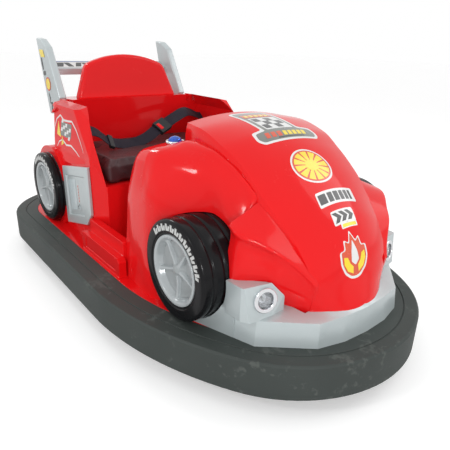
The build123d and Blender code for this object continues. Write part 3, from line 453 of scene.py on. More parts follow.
# In millimetres, its edge's radius and the size of its cover's cells
CUSHION_EDGE = 12
CUSHION_CELL = 6
SWELL_FRAMES = 20


def swollen_cushion(scene):
    """Cushion that starts a little small and is swollen by pressure inside its cover."""
    obj = node_copy("seat_cushion", "seat_pad")
    low, high = (np.array(c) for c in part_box("seat_cushion"))
    middle, size = (low + high) / 2, high - low
    shrink = 1 - np.array(CUSHION_SHRINK) / size
    for v in obj.data.vertices:
        v.co = Vector(middle + (np.array(v.co) - middle) * shrink)
    rounded_edges(obj, CUSHION_EDGE, 3)
    cells = obj.modifiers.new("cells", "REMESH")
    cells.mode = "VOXEL"
    cells.voxel_size = CUSHION_CELL * MM
    applied(obj)
    start = np.array([v.co for v in obj.data.vertices])
    cloth = obj.modifiers.new("swell", "CLOTH")
    cloth.settings.quality = 5
    cloth.settings.use_pressure = True
    cloth.settings.uniform_pressure_force = 4
    cloth.settings.effector_weights.gravity = 0
    cloth.collision_settings.use_collision = False
    for number in range(1, SWELL_FRAMES + 1):
        scene.frame_set(number)
    applied(obj)
    scene.frame_set(1)
    end = np.array([v.co for v in obj.data.vertices])
    move = end - start
    reach = np.linalg.norm(move, axis=1)[:, None]
    end = start + move * np.minimum(1, CUSHION_SWELL / np.maximum(reach, 1e-9))
    end = np.clip(end, low + CUSHION_GAP, high + np.array((0.002, -CUSHION_GAP, CUSHION_CROWN)))
    for v, p in zip(obj.data.vertices, end):
        v.co = p
    divide = obj.modifiers.new("finer", "SUBSURF")
    divide.levels = divide.render_levels = 1
    applied(obj)
    settle(obj, "vinyl", replaces=("seat_cushion",), angle=80)
    return obj


def slab_at(name, centre, axes, size):
    """Block round a centre, along three axes."""
    verts = []
    for i in (-0.5, 0.5):
        for j in (-0.5, 0.5):
            for k in (-0.5, 0.5):
                moves = [axis * length * share for axis, length, share in zip(axes, size, (i, j, k))]
                verts.append(tuple(centre + moves[0] + moves[1] + moves[2]))
    faces = [(0, 1, 3, 2), (4, 5, 7, 6), (0, 1, 5, 4), (2, 3, 7, 6), (0, 2, 6, 4), (1, 3, 7, 5)]
    return bare(name, verts, faces)


def joined(parts, name):
    """Several new objects as one."""
    bm = bmesh.new()
    for obj in parts:
        bm.from_mesh(obj.data)
    mesh = bpy.data.meshes.new(name)
    bm.to_mesh(mesh)
    bm.free()
    for obj in parts:
        bpy.data.objects.remove(obj)
    return linked(name, mesh)


def grid_faces(rows, columns, wrap=False):
    """Faces between rows of vertices, each row closed on itself with wrap."""
    faces = []
    reach = columns if wrap else columns - 1
    for i in range(rows - 1):
        for j in range(reach):
            k = (j + 1) % columns
            faces.append((i * columns + j, i * columns + k, (i + 1) * columns + k, (i + 1) * columns + j))
    return faces


def bare(name, verts, faces):
    """New object from vertices in millimetres, with no finish yet."""
    mesh = bpy.data.meshes.new(name)
    mesh.from_pydata([tuple(c * MM for c in v) for v in verts], [], faces)
    obj = linked(name, mesh)
    tidy_normals(obj)
    return obj


def turned(profile, centre, steps=96):
    """Ring about an axis parallel to Y through (x, height), from (y, radius) pairs."""
    verts = []
    for y, radius in profile:
        for k in range(steps):
            a = 2 * math.pi * k / steps
            verts.append((centre[0] + radius * math.cos(a), y, centre[1] + radius * math.sin(a)))
    return verts, grid_faces(len(profile), steps, wrap=True)


# Curves through tables

def flowing(table, stations):
    """Columns of a table, followed smoothly without overshoot between its rows."""
    table = np.array(table, float)
    x = table[:, 0]
    out = []
    for column in table.T[1:]:
        step = np.diff(x)
        rise = np.diff(column) / step
        slope = np.zeros(len(x))
        slope[0], slope[-1] = rise[0], rise[-1]
        for i in range(1, len(x) - 1):
            if rise[i - 1] * rise[i] > 0:
                a, b = 2 * step[i] + step[i - 1], step[i] + 2 * step[i - 1]
                slope[i] = (a + b) / (a / rise[i - 1] + b / rise[i])
        i = np.clip(np.searchsorted(x, stations) - 1, 0, len(step) - 1)
        t = (np.asarray(stations) - x[i]) / step[i]
        out.append(column[i] * (1 + 2 * t) * (1 - t) ** 2 + slope[i] * step[i] * t * (1 - t) ** 2
                   + column[i + 1] * t * t * (3 - 2 * t) + slope[i + 1] * step[i] * t * t * (t - 1))
    return np.array(out).T


def rounded(points, radii, run=3, arc=6):
    """Polyline with its corners rounded, with the same number of points whatever its shape."""
    points = [np.array(p, float) for p in points]
    out = [points[0]]
    for before, corner, after, radius in zip(points, points[1:], points[2:], radii):
        back, ahead = before - corner, after - corner
        lengths = np.linalg.norm(back), np.linalg.norm(ahead)
        first = corner + back / max(lengths[0], 1e-6) * min(radius, 0.48 * lengths[0])
        last = corner + ahead / max(lengths[1], 1e-6) * min(radius, 0.48 * lengths[1])
        start = out[-1]
        out += [start + (first - start) * (k + 1) / run for k in range(run)]
        for k in range(1, arc + 1):
            t = k / arc
            out.append(first * (1 - t) ** 2 + corner * 2 * t * (1 - t) + last * t * t)
    start = out[-1]
    out += [start + (points[-1] - start) * (k + 1) / run for k in range(run)]
    return out


# Front body: x from the front wheels' centre, distances from the middle, heights above the deck

# x, half width, height of the crease at the side, height of the crown
HOOD = (
    (-243, 200, 517, 538), (-163, 214, 515, 534), (-43, 222, 485, 514), (37, 212, 442, 479),
    (117, 210, 380, 426), (197, 191, 305, 360), (277, 170, 216, 278), (367, 141, 46, 156),
)
# x, then (distance, height) of the gutter, the ridge, the shoulder and the waist, and the foot's distance
FENDER = (
    (-345, 200, 392, 260, 402, 340, 400, 370, 302, 396), (-300, 205, 441, 261, 447, 350, 436, 379, 300, 401),
    (-232, 211, 466, 262, 466, 355, 448, 388, 300, 405), (-190, 217, 474, 262, 474, 344, 452, 388, 335, 408),
    (-153, 222, 476, 257, 483, 328, 449, 383, 340, 407),
    (-63, 226, 468, 247, 474, 302, 425, 345, 305, 350), (17, 219, 438, 235, 441, 274, 388, 284, 310, 286),
    (77, 214, 400, 225, 405, 256, 345, 281, 292, 284), (117, 210, 368, 217, 374, 248, 330, 280, 270, 284),
)
FENDER_ROOT = 196.0
FENDER_CORNER = FENDER[2][0]
FENDER_RADII = (6, 8, 20, 34, 40)
# Rounding of a fender's ends: distance from the end, how far the section is drawn in
FENDER_END = ((0, 9), (1, 5), (3, 2), (6, 0.6), (9, 0))
# Lines along the cheek: (x, distance, height)
CHEEK_RIDGE = (
    (117, 318, 318), (149, 326, 309), (217, 271, 273), (241, 248, 258), (289, 180, 188), (305, 161, 163))
CHEEK_GUTTER = (
    (117, 214, 362), (149, 212, 338), (217, 193, 276), (241, 184, 250), (289, 166, 188), (305, 161, 163))
CHEEK_HOLLOW = (
    (117, 306, 290), (149, 312, 280), (217, 252, 245), (241, 236, 235), (289, 172, 172), (303, 161, 152))
CHEEK_BELLY = (
    (117, 328, 180), (149, 330, 180), (217, 268, 180), (241, 248, 175), (289, 168, 130), (296, 161, 120))
CHEEK_SILL = ((117, 338, 78), (149, 326, 78), (217, 203, 78), (241, 188, 78), (289, 162, 78))
CHEEK_FOOT = ((117, 338, 0), (149, 326, 0), (217, 203, 0), (241, 188, 0), (289, 162, 0))
CHEEK_INNER = 150.0
CHEEK_RADII = (1, 6, 14, 22, 40, 30)
# Rounding of a cheek's rear end: share of its length, how far the section is drawn in
CHEEK_END = ((0, 10), (0.004, 5.5), (0.012, 2.4), (0.022, 0.7), (0.034, 0))
# Height, x of the nose's face at its edge, x at the middle
NOSE = ((0, 292, 356), (78, 292, 356), (163, 305, 317), (252, 293, 303), (600, 240, 250))
NOSE_HALF = 162.0
# Points along the hood's length, and down the nose's face
HOOD_STATIONS = 64
NOSE_STEPS = 24
# Side walls below the hood's crease: depth, how far they lean out
HOOD_WALLS = ((4, 1.5), (14, 4), (36, 9), (110, 9))
# Their lean fades out towards this x, over this length
WALL_FADE_X = 255.0
WALL_FADE = 60.0
HOOD_WALL_THICK = 5.0
ARCH_INNER = 261.5
ARCH_OUTSIDE = 520.0
ARCH_RADIUS = 152.5
ARCH_H = 154.0
ARCH_X = FRONT - 4.0
# The apron's wings: ends in x, inner side, outer side and x where they meet the apron, slope in plan, height
WING_ENDS = (-20.0, 176.0)
WING_INNER = 263.0
WING_OUTER = 345.0
WING_MEETS = 132.0
WING_SLOPE = 0.318
WING_TOP = 92.0


def nose_x(y, h):
    """The nose's bowed front face."""
    table = np.array(NOSE, float)
    edge, centre = np.interp(h, table[:, 0], table[:, 1]), np.interp(h, table[:, 0], table[:, 2])
    return centre - (centre - edge) * (y / NOSE_HALF) ** 2


def hood_column(share):
    """Column of points from the cowl down to the nose's foot, at a share of the half width."""
    side = abs(share)

    def at(x):
        half, crease, crown = flowing(HOOD, [x])[0]
        return share * half, crown - (crown - crease) * side ** 2

    low, high = 150.0, 360.0
    for _ in range(40):
        middle = (low + high) / 2
        y, h = at(middle)
        low, high = (middle, high) if middle < nose_x(y, h) else (low, middle)
    edge = low
    stations = np.linspace(HOOD[0][0], edge, HOOD_STATIONS)
    column = [np.array((x, *at(x))) for x in stations]
    foot = []
    y0, h0 = at(edge)
    for k in range(1, NOSE_STEPS + 1):
        h = h0 * (1 - k / NOSE_STEPS)
        y = y0 + (share * NOSE_HALF - y0) * k / NOSE_STEPS
        foot.append(np.array((nose_x(y, h), y, h)))
    line = column + foot
    soft = [p.copy() for p in line]
    for _ in range(26):
        for i in range(HOOD_STATIONS - 7, HOOD_STATIONS + 7):
            soft[i] = (soft[i - 1] + soft[i] * 2 + soft[i + 1]) / 4
    return soft


def hood_shell():
    """Crowned hood, its side walls and the nose's front face, as one moulded sheet."""
    shares = list(np.linspace(0, 0.9, 15)) + [0.94, 0.97, 0.99, 1.0]
    columns = [hood_column(s) for s in shares]
    crest = columns[-1]
    count = len(crest)
    for drop, lean in HOOD_WALLS:
        wall = []
        for i, p in enumerate(crest):
            fade = np.clip((WALL_FADE_X - p[0]) / WALL_FADE, -1, 1)
            out = lean * fade if fade > 0 else max(-lean * 2, lean * 2 * fade)
            depth = drop if i < HOOD_STATIONS else 0
            wall.append(np.array((p[0] - (3 if fade <= 0 else 0), p[1] + out, max(p[2] - depth, 0))))
        columns.append(wall)
    rows = [[c * np.array((1, -1, 1)) for c in column] for column in reversed(columns[1:])] + columns
    verts = [(FRONT + p[0], p[1], DECK + p[2]) for column in rows for p in column]
    obj = bare("hood_shell", verts, grid_faces(len(rows), count))
    thick = obj.modifiers.new("wall", "SOLIDIFY")
    thick.thickness = HOOD_WALL_THICK * MM
    thick.offset = -1
    return applied(obj)


def wheel_well(side):
    """Round cutter for a front wheel's arch, from the arch's inner wall out past the body."""
    hair = 0.01
    ends = side * ARCH_INNER, side * ARCH_OUTSIDE
    profile = [(ends[0], hair), (ends[0], ARCH_RADIUS), (ends[1], ARCH_RADIUS), (ends[1], hair)]
    verts, faces = turned(profile, (ARCH_X, DECK + ARCH_H))
    steps = len(verts) // len(profile)
    faces += [tuple(range(steps)), tuple(range(3 * steps, 4 * steps))]
    return bare("cutter", verts, faces)


def capped_loft(name, rows):
    """Closed form through closed cross sections."""
    count = len(rows[0])
    verts = [tuple(p) for row in rows for p in row]
    faces = grid_faces(len(rows), count, wrap=True)
    faces += [tuple(range(count)), tuple(range((len(rows) - 1) * count, len(rows) * count))]
    return bare(name, verts, faces)


def fender(side):
    """Swelling fender with its crest, its slanted rear face and its wheel arch."""
    rear, nose = FENDER[0][0], FENDER[-1][0]
    back = np.linspace(rear + 12, FENDER_CORNER - 2, 24)
    ahead = np.linspace(FENDER_CORNER + 2, nose - 12, 80)
    first = [(rear + x, d) for x, d in FENDER_END]
    last = [(nose - x, d) for x, d in reversed(FENDER_END)]
    rows = []
    for x, d in first + [(x, 0) for x in (*back, *ahead)] + last:
        table = FENDER[:3] if x < FENDER_CORNER else FENDER[2:]
        gy, gh, ry, rh, sy, sh, wy, wh, fy = flowing(table, [x])[0]
        points = [(FENDER_ROOT + d, 0), (FENDER_ROOT + d, gh - d), (gy, gh - d), (ry, rh - d),
                  (sy - d * 0.8, sh - d * 0.8), (wy - d, wh), (fy - d, 0)]
        line = rounded(points, FENDER_RADII)
        rows.append([(FRONT + x, side * y, DECK + max(h, 0)) for y, h in line])
    obj = capped_loft("fender", rows)
    return combined(obj, wheel_well(side), "DIFFERENCE")


def apron_wing(name, side):
    """Low silver wing from the apron's side back under the tyre, its top following the tyre."""
    rows = []
    for x in np.linspace(*WING_ENDS, 50):
        reach = min(x + FRONT - ARCH_X, 148)
        top = min(ARCH_H - math.sqrt(ARCH_RADIUS ** 2 - reach ** 2), WING_TOP)
        outer = WING_OUTER + (WING_MEETS - x) * WING_SLOPE
        edge = min(top * 0.5, 3.0)
        points = [(WING_INNER, 0.2), (outer - 0.5, 0.2), (outer, top - edge), (outer - edge, top),
                  (WING_INNER, top)]
        rows.append([(FRONT + x, side * y, DECK + h) for y, h in points])
    wing = capped_loft(f"apron_wing_{name}", rows)
    return settle(wing, "silver", angle=25)


def cheek(side):
    """Cheek below the hood's crease, with its lip, the hollow under it and the belly above the apron."""
    tables = (CHEEK_GUTTER, CHEEK_RIDGE, CHEEK_HOLLOW, CHEEK_BELLY, CHEEK_SILL, CHEEK_FOOT)
    rows = []
    for s, d in [*CHEEK_END, *((share, 0) for share in np.linspace(0.05, 1, 44))]:
        points = []
        for table in tables:
            x = table[0][0] + (table[-1][0] - table[0][0]) * s
            y, h = flowing(table, [x])[0]
            points.append((x, y - d, h - d if h > 200 else h))
        points = [(points[-1][0], CHEEK_INNER, 0), (points[0][0], CHEEK_INNER, points[0][2])] + points
        line = rounded(points, CHEEK_RADII)
        rows.append([(FRONT + p[0], side * p[1], DECK + max(p[2], 0)) for p in line])
    obj = capped_loft("cheek", rows)
    return combined(obj, wheel_well(side), "DIFFERENCE")


# Films: thin printed sheets laid on a surface, from flat outlines of (right, up)

FILM_THICK = 0.25
FILM_LIFT = 0.4
LAYER_LIFT = 0.35
# Height of the cockpit's rim above the deck, and distances of the fins' and side panels' outer faces
RIM_H = 513.0
FIN_FACE = 321.2
VENT_FACE = 392.6
# Spoiler bar's upper face: x and height of its front edge from the rear wheels and the rim, and its length
BAR_FOOT = (-160.0, 114.0)
BAR_FACE = 70.7


def ellipse(width, height, at=(0, 0), turn=0.0, count=40):
    """Outline of an ellipse round a point."""
    out = []
    for k in range(count):
        a = 2 * math.pi * k / count
        u, w = width / 2 * math.cos(a), height / 2 * math.sin(a)
        c, s = math.cos(turn), math.sin(turn)
        out.append((at[0] + u * c - w * s, at[1] + u * s + w * c))
    return out


def softened_outline(points, radius):
    """Closed outline with rounded corners."""
    out = []
    count = len(points)
    for k in range(count):
        before, corner, after = (np.array(points[(k + d) % count], float) for d in (-1, 0, 1))
        back, ahead = before - corner, after - corner
        lengths = np.linalg.norm(back), np.linalg.norm(ahead)
        first = corner + back / lengths[0] * min(radius, 0.45 * lengths[0])
        last = corner + ahead / lengths[1] * min(radius, 0.45 * lengths[1])
        for i in range(5):
            t = i / 4
            out.append(tuple(first * (1 - t) ** 2 + corner * 2 * t * (1 - t) + last * t * t))
    return out


def oblong(width, height, at=(0, 0), slant=0.0, radius=3.0):
    """Outline of a slanted oblong with rounded corners."""
    u, w = width / 2, height / 2
    corners = [(-u - slant, -w), (u - slant, -w), (u + slant, w), (-u + slant, w)]
    return softened_outline([(at[0] + a, at[1] + b) for a, b in corners], radius)


def ribbon(points, width):
    """Outline of a stripe that follows a line."""
    line = [np.array(p, float) for p in points]
    left, right = [], []
    for k, p in enumerate(line):
        ahead = line[min(k + 1, len(line) - 1)] - line[max(k - 1, 0)]
        ahead /= np.linalg.norm(ahead)
        taper = math.sin(math.pi * (k + 0.6) / (len(line) + 0.2))
        across = np.array((-ahead[1], ahead[0])) * width / 2 * taper
        left.append(tuple(p + across))
        right.append(tuple(p - across))
    return right + left[::-1]


def film(name, outlines, place, finish, layer=0, grid=8.0):
    """Film cut fine enough to follow the surface that it is laid on."""
    bm = bmesh.new()
    for outline in outlines:
        area = sum(a[0] * b[1] - b[0] * a[1] for a, b in zip(outline, outline[1:] + outline[:1]))
        corners = outline if area > 0 else outline[::-1]
        bm.faces.new([bm.verts.new((u, w, 0)) for u, w in corners])
    spread = [[p[k] for outline in outlines for p in outline] for k in (0, 1)]
    for k, axis in enumerate(((1, 0, 0), (0, 1, 0))):
        low, high = min(spread[k]), max(spread[k])
        for i in range(1, int((high - low) / grid) + 1):
            at = low + (i - 0.37) * grid
            bmesh.ops.bisect_plane(bm, geom=bm.verts[:] + bm.edges[:] + bm.faces[:],
                                   plane_co=tuple(a * at for a in axis), plane_no=axis)
    bmesh.ops.triangulate(bm, faces=bm.faces)
    bm.verts.index_update()
    verts = [place(v.co.x, v.co.y, FILM_LIFT + LAYER_LIFT * layer) for v in bm.verts]
    faces = [tuple(v.index for v in f.verts) for f in bm.faces]
    bm.free()
    mesh = bpy.data.meshes.new(name)
    mesh.from_pydata([tuple(c * MM for c in v) for v in verts], [], faces)
    obj = linked(name, mesh)
    thick = obj.modifiers.new("film", "SOLIDIFY")
    thick.thickness = FILM_THICK * MM
    thick.offset = -1
    applied(obj)
    return settle(obj, finish)


def on_front(centre_x):
    """Places on the hood and nose, right and up along the surface from a point of the centre line."""
    if "front" not in SURFACES:
        SURFACES["front"] = np.array([hood_column(s) for s in np.linspace(-1, 1, 41)])
    grid = SURFACES["front"]
    middle = grid[len(grid) // 2]
    length = np.concatenate([[0], np.cumsum(np.linalg.norm(np.diff(middle, axis=0), axis=1))])
    start = np.interp(centre_x, middle[:, 0], length)

    def point(u, w):
        i = float(np.interp(start - w, length, np.arange(len(length))))
        low = min(int(i), len(length) - 2)
        row = grid[:, low] * (low + 1 - i) + grid[:, low + 1] * (i - low)
        return np.array([np.interp(u, row[:, 1], row[:, k]) for k in range(3)])

    def place(u, w, lift):
        normal = np.cross(point(u + 3, w) - point(u - 3, w), point(u, w + 3) - point(u, w - 3))
        p = point(u, w) + normal / np.linalg.norm(normal) * lift
        return FRONT + p[0], p[1], DECK + p[2]

    return place


def on_side_plane(x, h, y_low, y_high, side):
    """Places on a flank: right is towards the front on the right-hand side, y from two heights."""
    def place(u, w, lift):
        share = (h + w - y_low[0]) / (y_high[0] - y_low[0])
        y = y_low[1] + (y_high[1] - y_low[1]) * share + lift
        return x + u, side * y, DECK + h + w
    return place


def wheel_of(count, inner, outer, width, at=(0, 0), scale=(1, 1)):
    """Wedges in a ring."""
    out = []
    for k in range(count):
        a = 2 * math.pi * k / count
        points = []
        for r, spread in ((inner, -width), (outer, -width), (outer, 0), (outer, width), (inner, width)):
            u, w = r * scale[0] * math.cos(a + spread), r * scale[1] * math.sin(a + spread)
            points.append((at[0] + u, at[1] + w))
        out.append(points)
    return out


def shifted(points, u, w, scale=1.0):
    """Outline scaled and moved."""
    return [(u + a * scale, w + b * scale) for a, b in points]


def hood_films():
    """Crest, rayed emblem, strip, badge and flame, down the hood and the nose."""
    plate = on_front(-95)
    u0 = 12
    border = [(-112, -118), (112, -118), (130, -98), (124, -58), (78, -50), (78, 110), (66, 122), (-66, 122),
              (-78, 110), (-78, -50), (-124, -58), (-130, -98)]
    field = [(-108, -109), (108, -109), (120, -93), (114, -67), (68, -59), (68, 104), (60, 112), (-60, 112),
             (-68, 104), (-68, -59), (-114, -67), (-120, -93)]
    film("plate_border", [softened_outline(shifted(border, u0, 0), 10)], plate, "white_ink")
    film("plate_field", [softened_outline(shifted(field, u0, 0), 8)], plate, "grey_ink", 1)
    film("plate_band", [oblong(118, 34, (u0, 66))], plate, "orange_ink", 2)
    film("plate_panel", [oblong(112, 96, (u0, -6))], plate, "white_ink", 2)
    chequer = [(i, j) for i in range(4) for j in range(3) if (i + j) % 2 == 0]
    film("plate_chequer", [oblong(25, 27, (u0 - 37.5 + 25 * i, -33 + 27 * j), 0, 0.5) for i, j in chequer],
         plate, "black_ink", 3)
    film("plate_band_bars", [oblong(13, 20, (u0 - 42 + 21 * k, 66), 2, 1.5) for k in range(5)], plate,
         "yellow_ink", 3)
    film("plate_foot_red", [oblong(17, 25, (u0 - 78 + 24 * k, -84), 3, 1.5) for k in range(3)], plate,
         "orange_ink", 2)
    film("plate_foot_yellow", [oblong(15, 22, (u0 - 6 + 20 * k, -84), 3, 1.5) for k in range(5)], plate,
         "yellow_ink", 2)
    film("plate_foot_line", [oblong(110, 4, (u0 + 8, -102), 0, 1)], plate, "black_ink", 2)
    emblem = on_front(112)
    film("emblem_border", [ellipse(150, 128, (-2, 0))], emblem, "white_ink")
    film("emblem_field", [ellipse(138, 116, (-2, 0))], emblem, "orange_ink", 1)
    film("emblem_rays", wheel_of(12, 15, 63, 0.2, (-2, 0), (1, 0.84)), emblem, "yellow_ink", 2)
    film("emblem_heart", [ellipse(50, 40, (-2, 0))], emblem, "yellow_ink", 3)
    strip = on_front(199)
    film("strip_border", [oblong(158, 46, (16, 0), 3, 6)], strip, "white_ink")
    bars = ((-42, 30), (-10, 20), (15, 20), (38, 16), (58, 14), (76, 10))
    film("strip_bars", [oblong(w, 30, (u, 0), 2, 2) for u, w in bars], strip, "black_ink", 1)
    badge = on_front(247)
    arrow = [(-18, 15), (-2, 15), (14, 0), (-2, -15), (-18, -15), (-4, 0)]
    film("badge_border", [oblong(92, 42, (0, 4), 2, 6), oblong(68, 16, (8, -24), 1)], badge, "white_ink")
    film("badge_arrows", [shifted(arrow, u, 4) for u in (-24, 2, 28)], badge, "black_ink", 1)
    film("badge_bar", [oblong(58, 10, (8, -24), 1)], badge, "yellow_ink", 1)
    flame = on_front(306.5)
    shape = [(0, 68), (14, 36), (30, 50), (34, 22), (52, 26), (54, -8), (42, -38), (20, -58), (0, -62),
             (-20, -58), (-42, -38), (-54, -8), (-52, 26), (-34, 22), (-30, 50), (-14, 36)]
    left = [(-44, 8), (-30, 2), (-22, -18), (-10, -30), (-12, -50), (-34, -36), (-46, -12)]
    right = [(-u, w) for u, w in left]
    middle = [(0, 44), (12, 12), (16, -14), (0, -28), (-16, -14), (-12, 12)]
    film("flame_border", [softened_outline(shifted(shape, -8, 8, 1.08), 9)], flame, "white_ink", grid=5)
    film("flame_field", [softened_outline(shifted(shape, -8, 8, 0.96), 8)], flame, "orange_ink", 1, 5)
    film("flame_tongues", [shifted(left, -8, 8), shifted(right, -8, 8)], flame, "yellow_ink", 2, 5)
    film("flame_heart", [softened_outline(shifted(middle, -8, 8), 4)], flame, "white_ink", 2, 5)


def flank_films(name, side):
    """Films of one flank: quarter panel, fin and side panel."""
    quarter = on_side_plane(REAR, 0, (330, 373), (500, 360), side)
    wave = [(8, 330), (20, 400), (48, 442), (90, 462), (128, 446), (168, 448), (214, 452), (258, 424),
            (300, 382), (330, 346)]
    low_wave = [(30, 312), (70, 352), (110, 366), (150, 350), (200, 356), (250, 342), (300, 322)]
    film(f"quarter_lines_{name}", [ribbon(wave, 8), ribbon(low_wave, 7)], quarter, "white_ink")
    squares = []
    for i in range(5):
        for j in range(3):
            if (i + j) % 2 == 0:
                squares.append(oblong(18, 15, (115 + 19 * i - 5 * j, 442 - 7 * i - 17 * j), 3, 1))
    film(f"quarter_white_{name}", [oblong(112, 58, (149, 410), 6, 4)], quarter, "grey_ink")
    film(f"quarter_squares_{name}", squares, quarter, "white_ink", 1)
    film(f"quarter_yellow_{name}", [[(48, 380), (92, 372), (66, 436)], [(96, 340), (122, 352), (104, 382)]],
         quarter, "yellow_ink")
    fin = on_side_plane(REAR, RIM_H, (0, FIN_FACE), (1000, FIN_FACE), side)
    film(f"fin_dark_{name}", [
        ribbon([(-204, 158), (-198, 134), (-190, 108)], 15), ellipse(30, 20, (-180, 94), 0.3),
        ribbon([(-150, 12), (-140, -8), (-144, -30)], 9), oblong(22, 9, (-128, -30), 3),
        oblong(9, 30, (-126, -48), 3)], fin, "black_ink")
    film(f"fin_yellow_{name}", [oblong(50, 30, (-188, 176), -8, 2)], fin, "yellow_ink", 1)
    film(f"fin_disc_{name}", [ellipse(60, 58, (-146, 50), 0.4)], fin, "orange_ink")
    film(f"fin_disc_field_{name}", [ellipse(48, 46, (-146, 50), 0.4)], fin, "yellow_ink", 1)
    vent = on_side_plane(REAR, 0, (0, VENT_FACE), (1000, VENT_FACE), side)
    panel = [(196, 224), (268, 238), (272, 112), (204, 92)]
    film(f"vent_panel_{name}", [softened_outline(panel, 4)], vent, "vent_ink")
    film(f"vent_marks_{name}", [oblong(5, 9, (292 + k * 0.6, 214 - 12 * k), 1, 1) for k in range(6)], vent,
         "orange_ink")
    film(f"vent_disc_{name}", [ellipse(20, 22, (298, 126))], vent, "vent_ink", 1)
    film(f"vent_arc_{name}", [ribbon([(284, 118), (284, 130), (294, 140)], 5)], vent, "black_ink", 2)


def bar_film():
    """Pattern along the spoiler bar, on its leaning upper face."""
    run, rise = -64 / BAR_FACE, 30 / BAR_FACE

    def place(u, w, lift):
        x, h = BAR_FOOT[0] + run * w, RIM_H + BAR_FOOT[1] + rise * w
        return REAR + x + lift * 0.42, u, DECK + h + lift * 0.91

    film("bar_field", [oblong(556, 50, (0, 34), 0, 2)], place, "white_ink")
    dark = [oblong(26 if k % 3 else 44, 36, (-250 + 46 * k, 34), (-1) ** k * 7, 5) for k in range(12)]
    film("bar_pattern", dark, place, "black_ink", 1)
    film("bar_edge_blue", [oblong(250, 4, (-140, 61.5), 0, 1)], place, "blue_ink", 1)
    film("bar_edge_red", [oblong(280, 4, (136, 61.5), 0, 1)], place, "orange_ink", 1)


# Wheels

# Mock wheels: place, x and height of the middle, tyre's radius, bead's radius, inner and outer face
MOCK_WHEELS = (("front", ARCH_X, ARCH_H, 151, 106, 262.3, 414), ("rear", REAR, 145, 149, 109, 300.3, 434))
# Spoke: distance from the middle, half width, depth of its crest below the tyre's outer face; then its foot's
SPOKE = ((14, 13, 13), (30, 9, 14.5), (60, 7, 15), (82, 8, 14), (92, 12, 10))
SPOKE_FOOT = 28.0
# Blocks on a tyre: offset in steps, inner and outer end, width, slant
TYRE_MARKS = ((0, 118, 138, 9, 0), (0.45, 118, 132, 8, 2))
MARK_COUNT = 12
MARK_STEP = math.radians(10.6)
MARK_START = math.radians(44)
FLOOR_GAP = 0.4


def round_profile(points, radius):
    """Profile with every corner rounded alike."""
    return [tuple(p) for p in rounded(points, [radius] * (len(points) - 2), run=1, arc=3)]


def wheel_ring(name, profile, centre, side, floor=None):
    """Closed ring of (distance from the middle plane, radius) about an axis along Y."""
    verts, faces = turned([(side * y, r) for y, r in profile], centre, 88)
    if floor is not None:
        verts = [(x, y, max(z, floor)) for x, y, z in verts]
    return bare(name, verts, faces)


def tyre_profile(inner, outer, radius, rim):
    """Grooved tread, shoulder, side wall and bead, round to the bore."""
    tread = [(inner, 60), (inner, radius - 9), (inner + 12, radius - 1)]
    count = round((outer - inner) / 34)
    for k in range(1, count):
        y = inner + (outer - inner) * k / count
        tread += [(y - 5, radius), (y - 2.4, radius - 3.2), (y + 2.4, radius - 3.2), (y + 5, radius)]
    tread += [(outer - 7, radius - 0.3), (outer - 0.4, radius - 7), (outer, radius - 22),
              (outer - 0.4, rim + 8), (outer - 3, rim + 7), (outer - 3.4, rim + 0.3),
              (outer - 30, rim + 0.3), (outer - 30, 60), (inner, 60)]
    return round_profile(tread, 5)


def lip_profile(outer, rim):
    """The rim's rolled lip."""
    return round_profile([(outer - 38, rim - 21), (outer - 38, rim - 0.4), (outer - 2.5, rim - 0.4),
                          (outer - 1, rim - 3), (outer - 2, rim - 11), (outer - 9, rim - 15),
                          (outer - 20, rim - 19), (outer - 24, rim - 21), (outer - 38, rim - 21)], 3)


def dish_profile(outer, rim):
    """The dish behind the spokes, up to the hub's cap."""
    return round_profile([(outer - 37, 0), (outer - 37, rim - 20.6), (outer - 22, rim - 20.6),
                          (outer - 25, rim - 32), (outer - 26, 34), (outer - 21, 20), (outer - 12, 15),
                          (outer - 9, 8), (outer - 8, 0)], 4)


def repeat_tree():
    """Geometry nodes: copies of a piece turned about the Y axis in equal steps, then moved to a centre."""
    tree = bpy.data.node_groups.new("repeat_about_axis", "GeometryNodeTree")
    tree.interface.new_socket("Geometry", in_out="INPUT", socket_type="NodeSocketGeometry")
    for label, kind in (("Count", "NodeSocketInt"), ("Step", "NodeSocketFloat"), ("Start", "NodeSocketFloat"),
                        ("Centre", "NodeSocketVector"), ("Finish", "NodeSocketMaterial")):
        tree.interface.new_socket(label, in_out="INPUT", socket_type=kind)
    tree.interface.new_socket("Geometry", in_out="OUTPUT", socket_type="NodeSocketGeometry")
    start, end = tree.nodes.new("NodeGroupInput"), tree.nodes.new("NodeGroupOutput")
    points = tree.nodes.new("GeometryNodePoints")
    index = tree.nodes.new("GeometryNodeInputIndex")
    turn = maths(tree, "MULTIPLY_ADD", index.outputs[0], start.outputs["Step"], start.outputs["Start"])
    angles = tree.nodes.new("ShaderNodeCombineXYZ")
    rotation = tree.nodes.new("FunctionNodeEulerToRotation")
    spread = tree.nodes.new("GeometryNodeInstanceOnPoints")
    move = tree.nodes.new("GeometryNodeTransform")
    real = tree.nodes.new("GeometryNodeRealizeInstances")
    paint = tree.nodes.new("GeometryNodeSetMaterial")
    for source, target in (
            (start.outputs["Count"], points.inputs["Count"]), (turn, angles.inputs["Y"]),
            (angles.outputs[0], rotation.inputs[0]), (points.outputs[0], spread.inputs["Points"]),
            (start.outputs["Geometry"], spread.inputs["Instance"]),
            (rotation.outputs[0], spread.inputs["Rotation"]), (spread.outputs[0], move.inputs["Geometry"]),
            (start.outputs["Centre"], move.inputs["Translation"]),
            (move.outputs[0], real.inputs["Geometry"]), (real.outputs[0], paint.inputs["Geometry"]),
            (start.outputs["Finish"], paint.inputs["Material"]), (paint.outputs[0], end.inputs["Geometry"])):
        tree.links.new(source, target)
    return tree


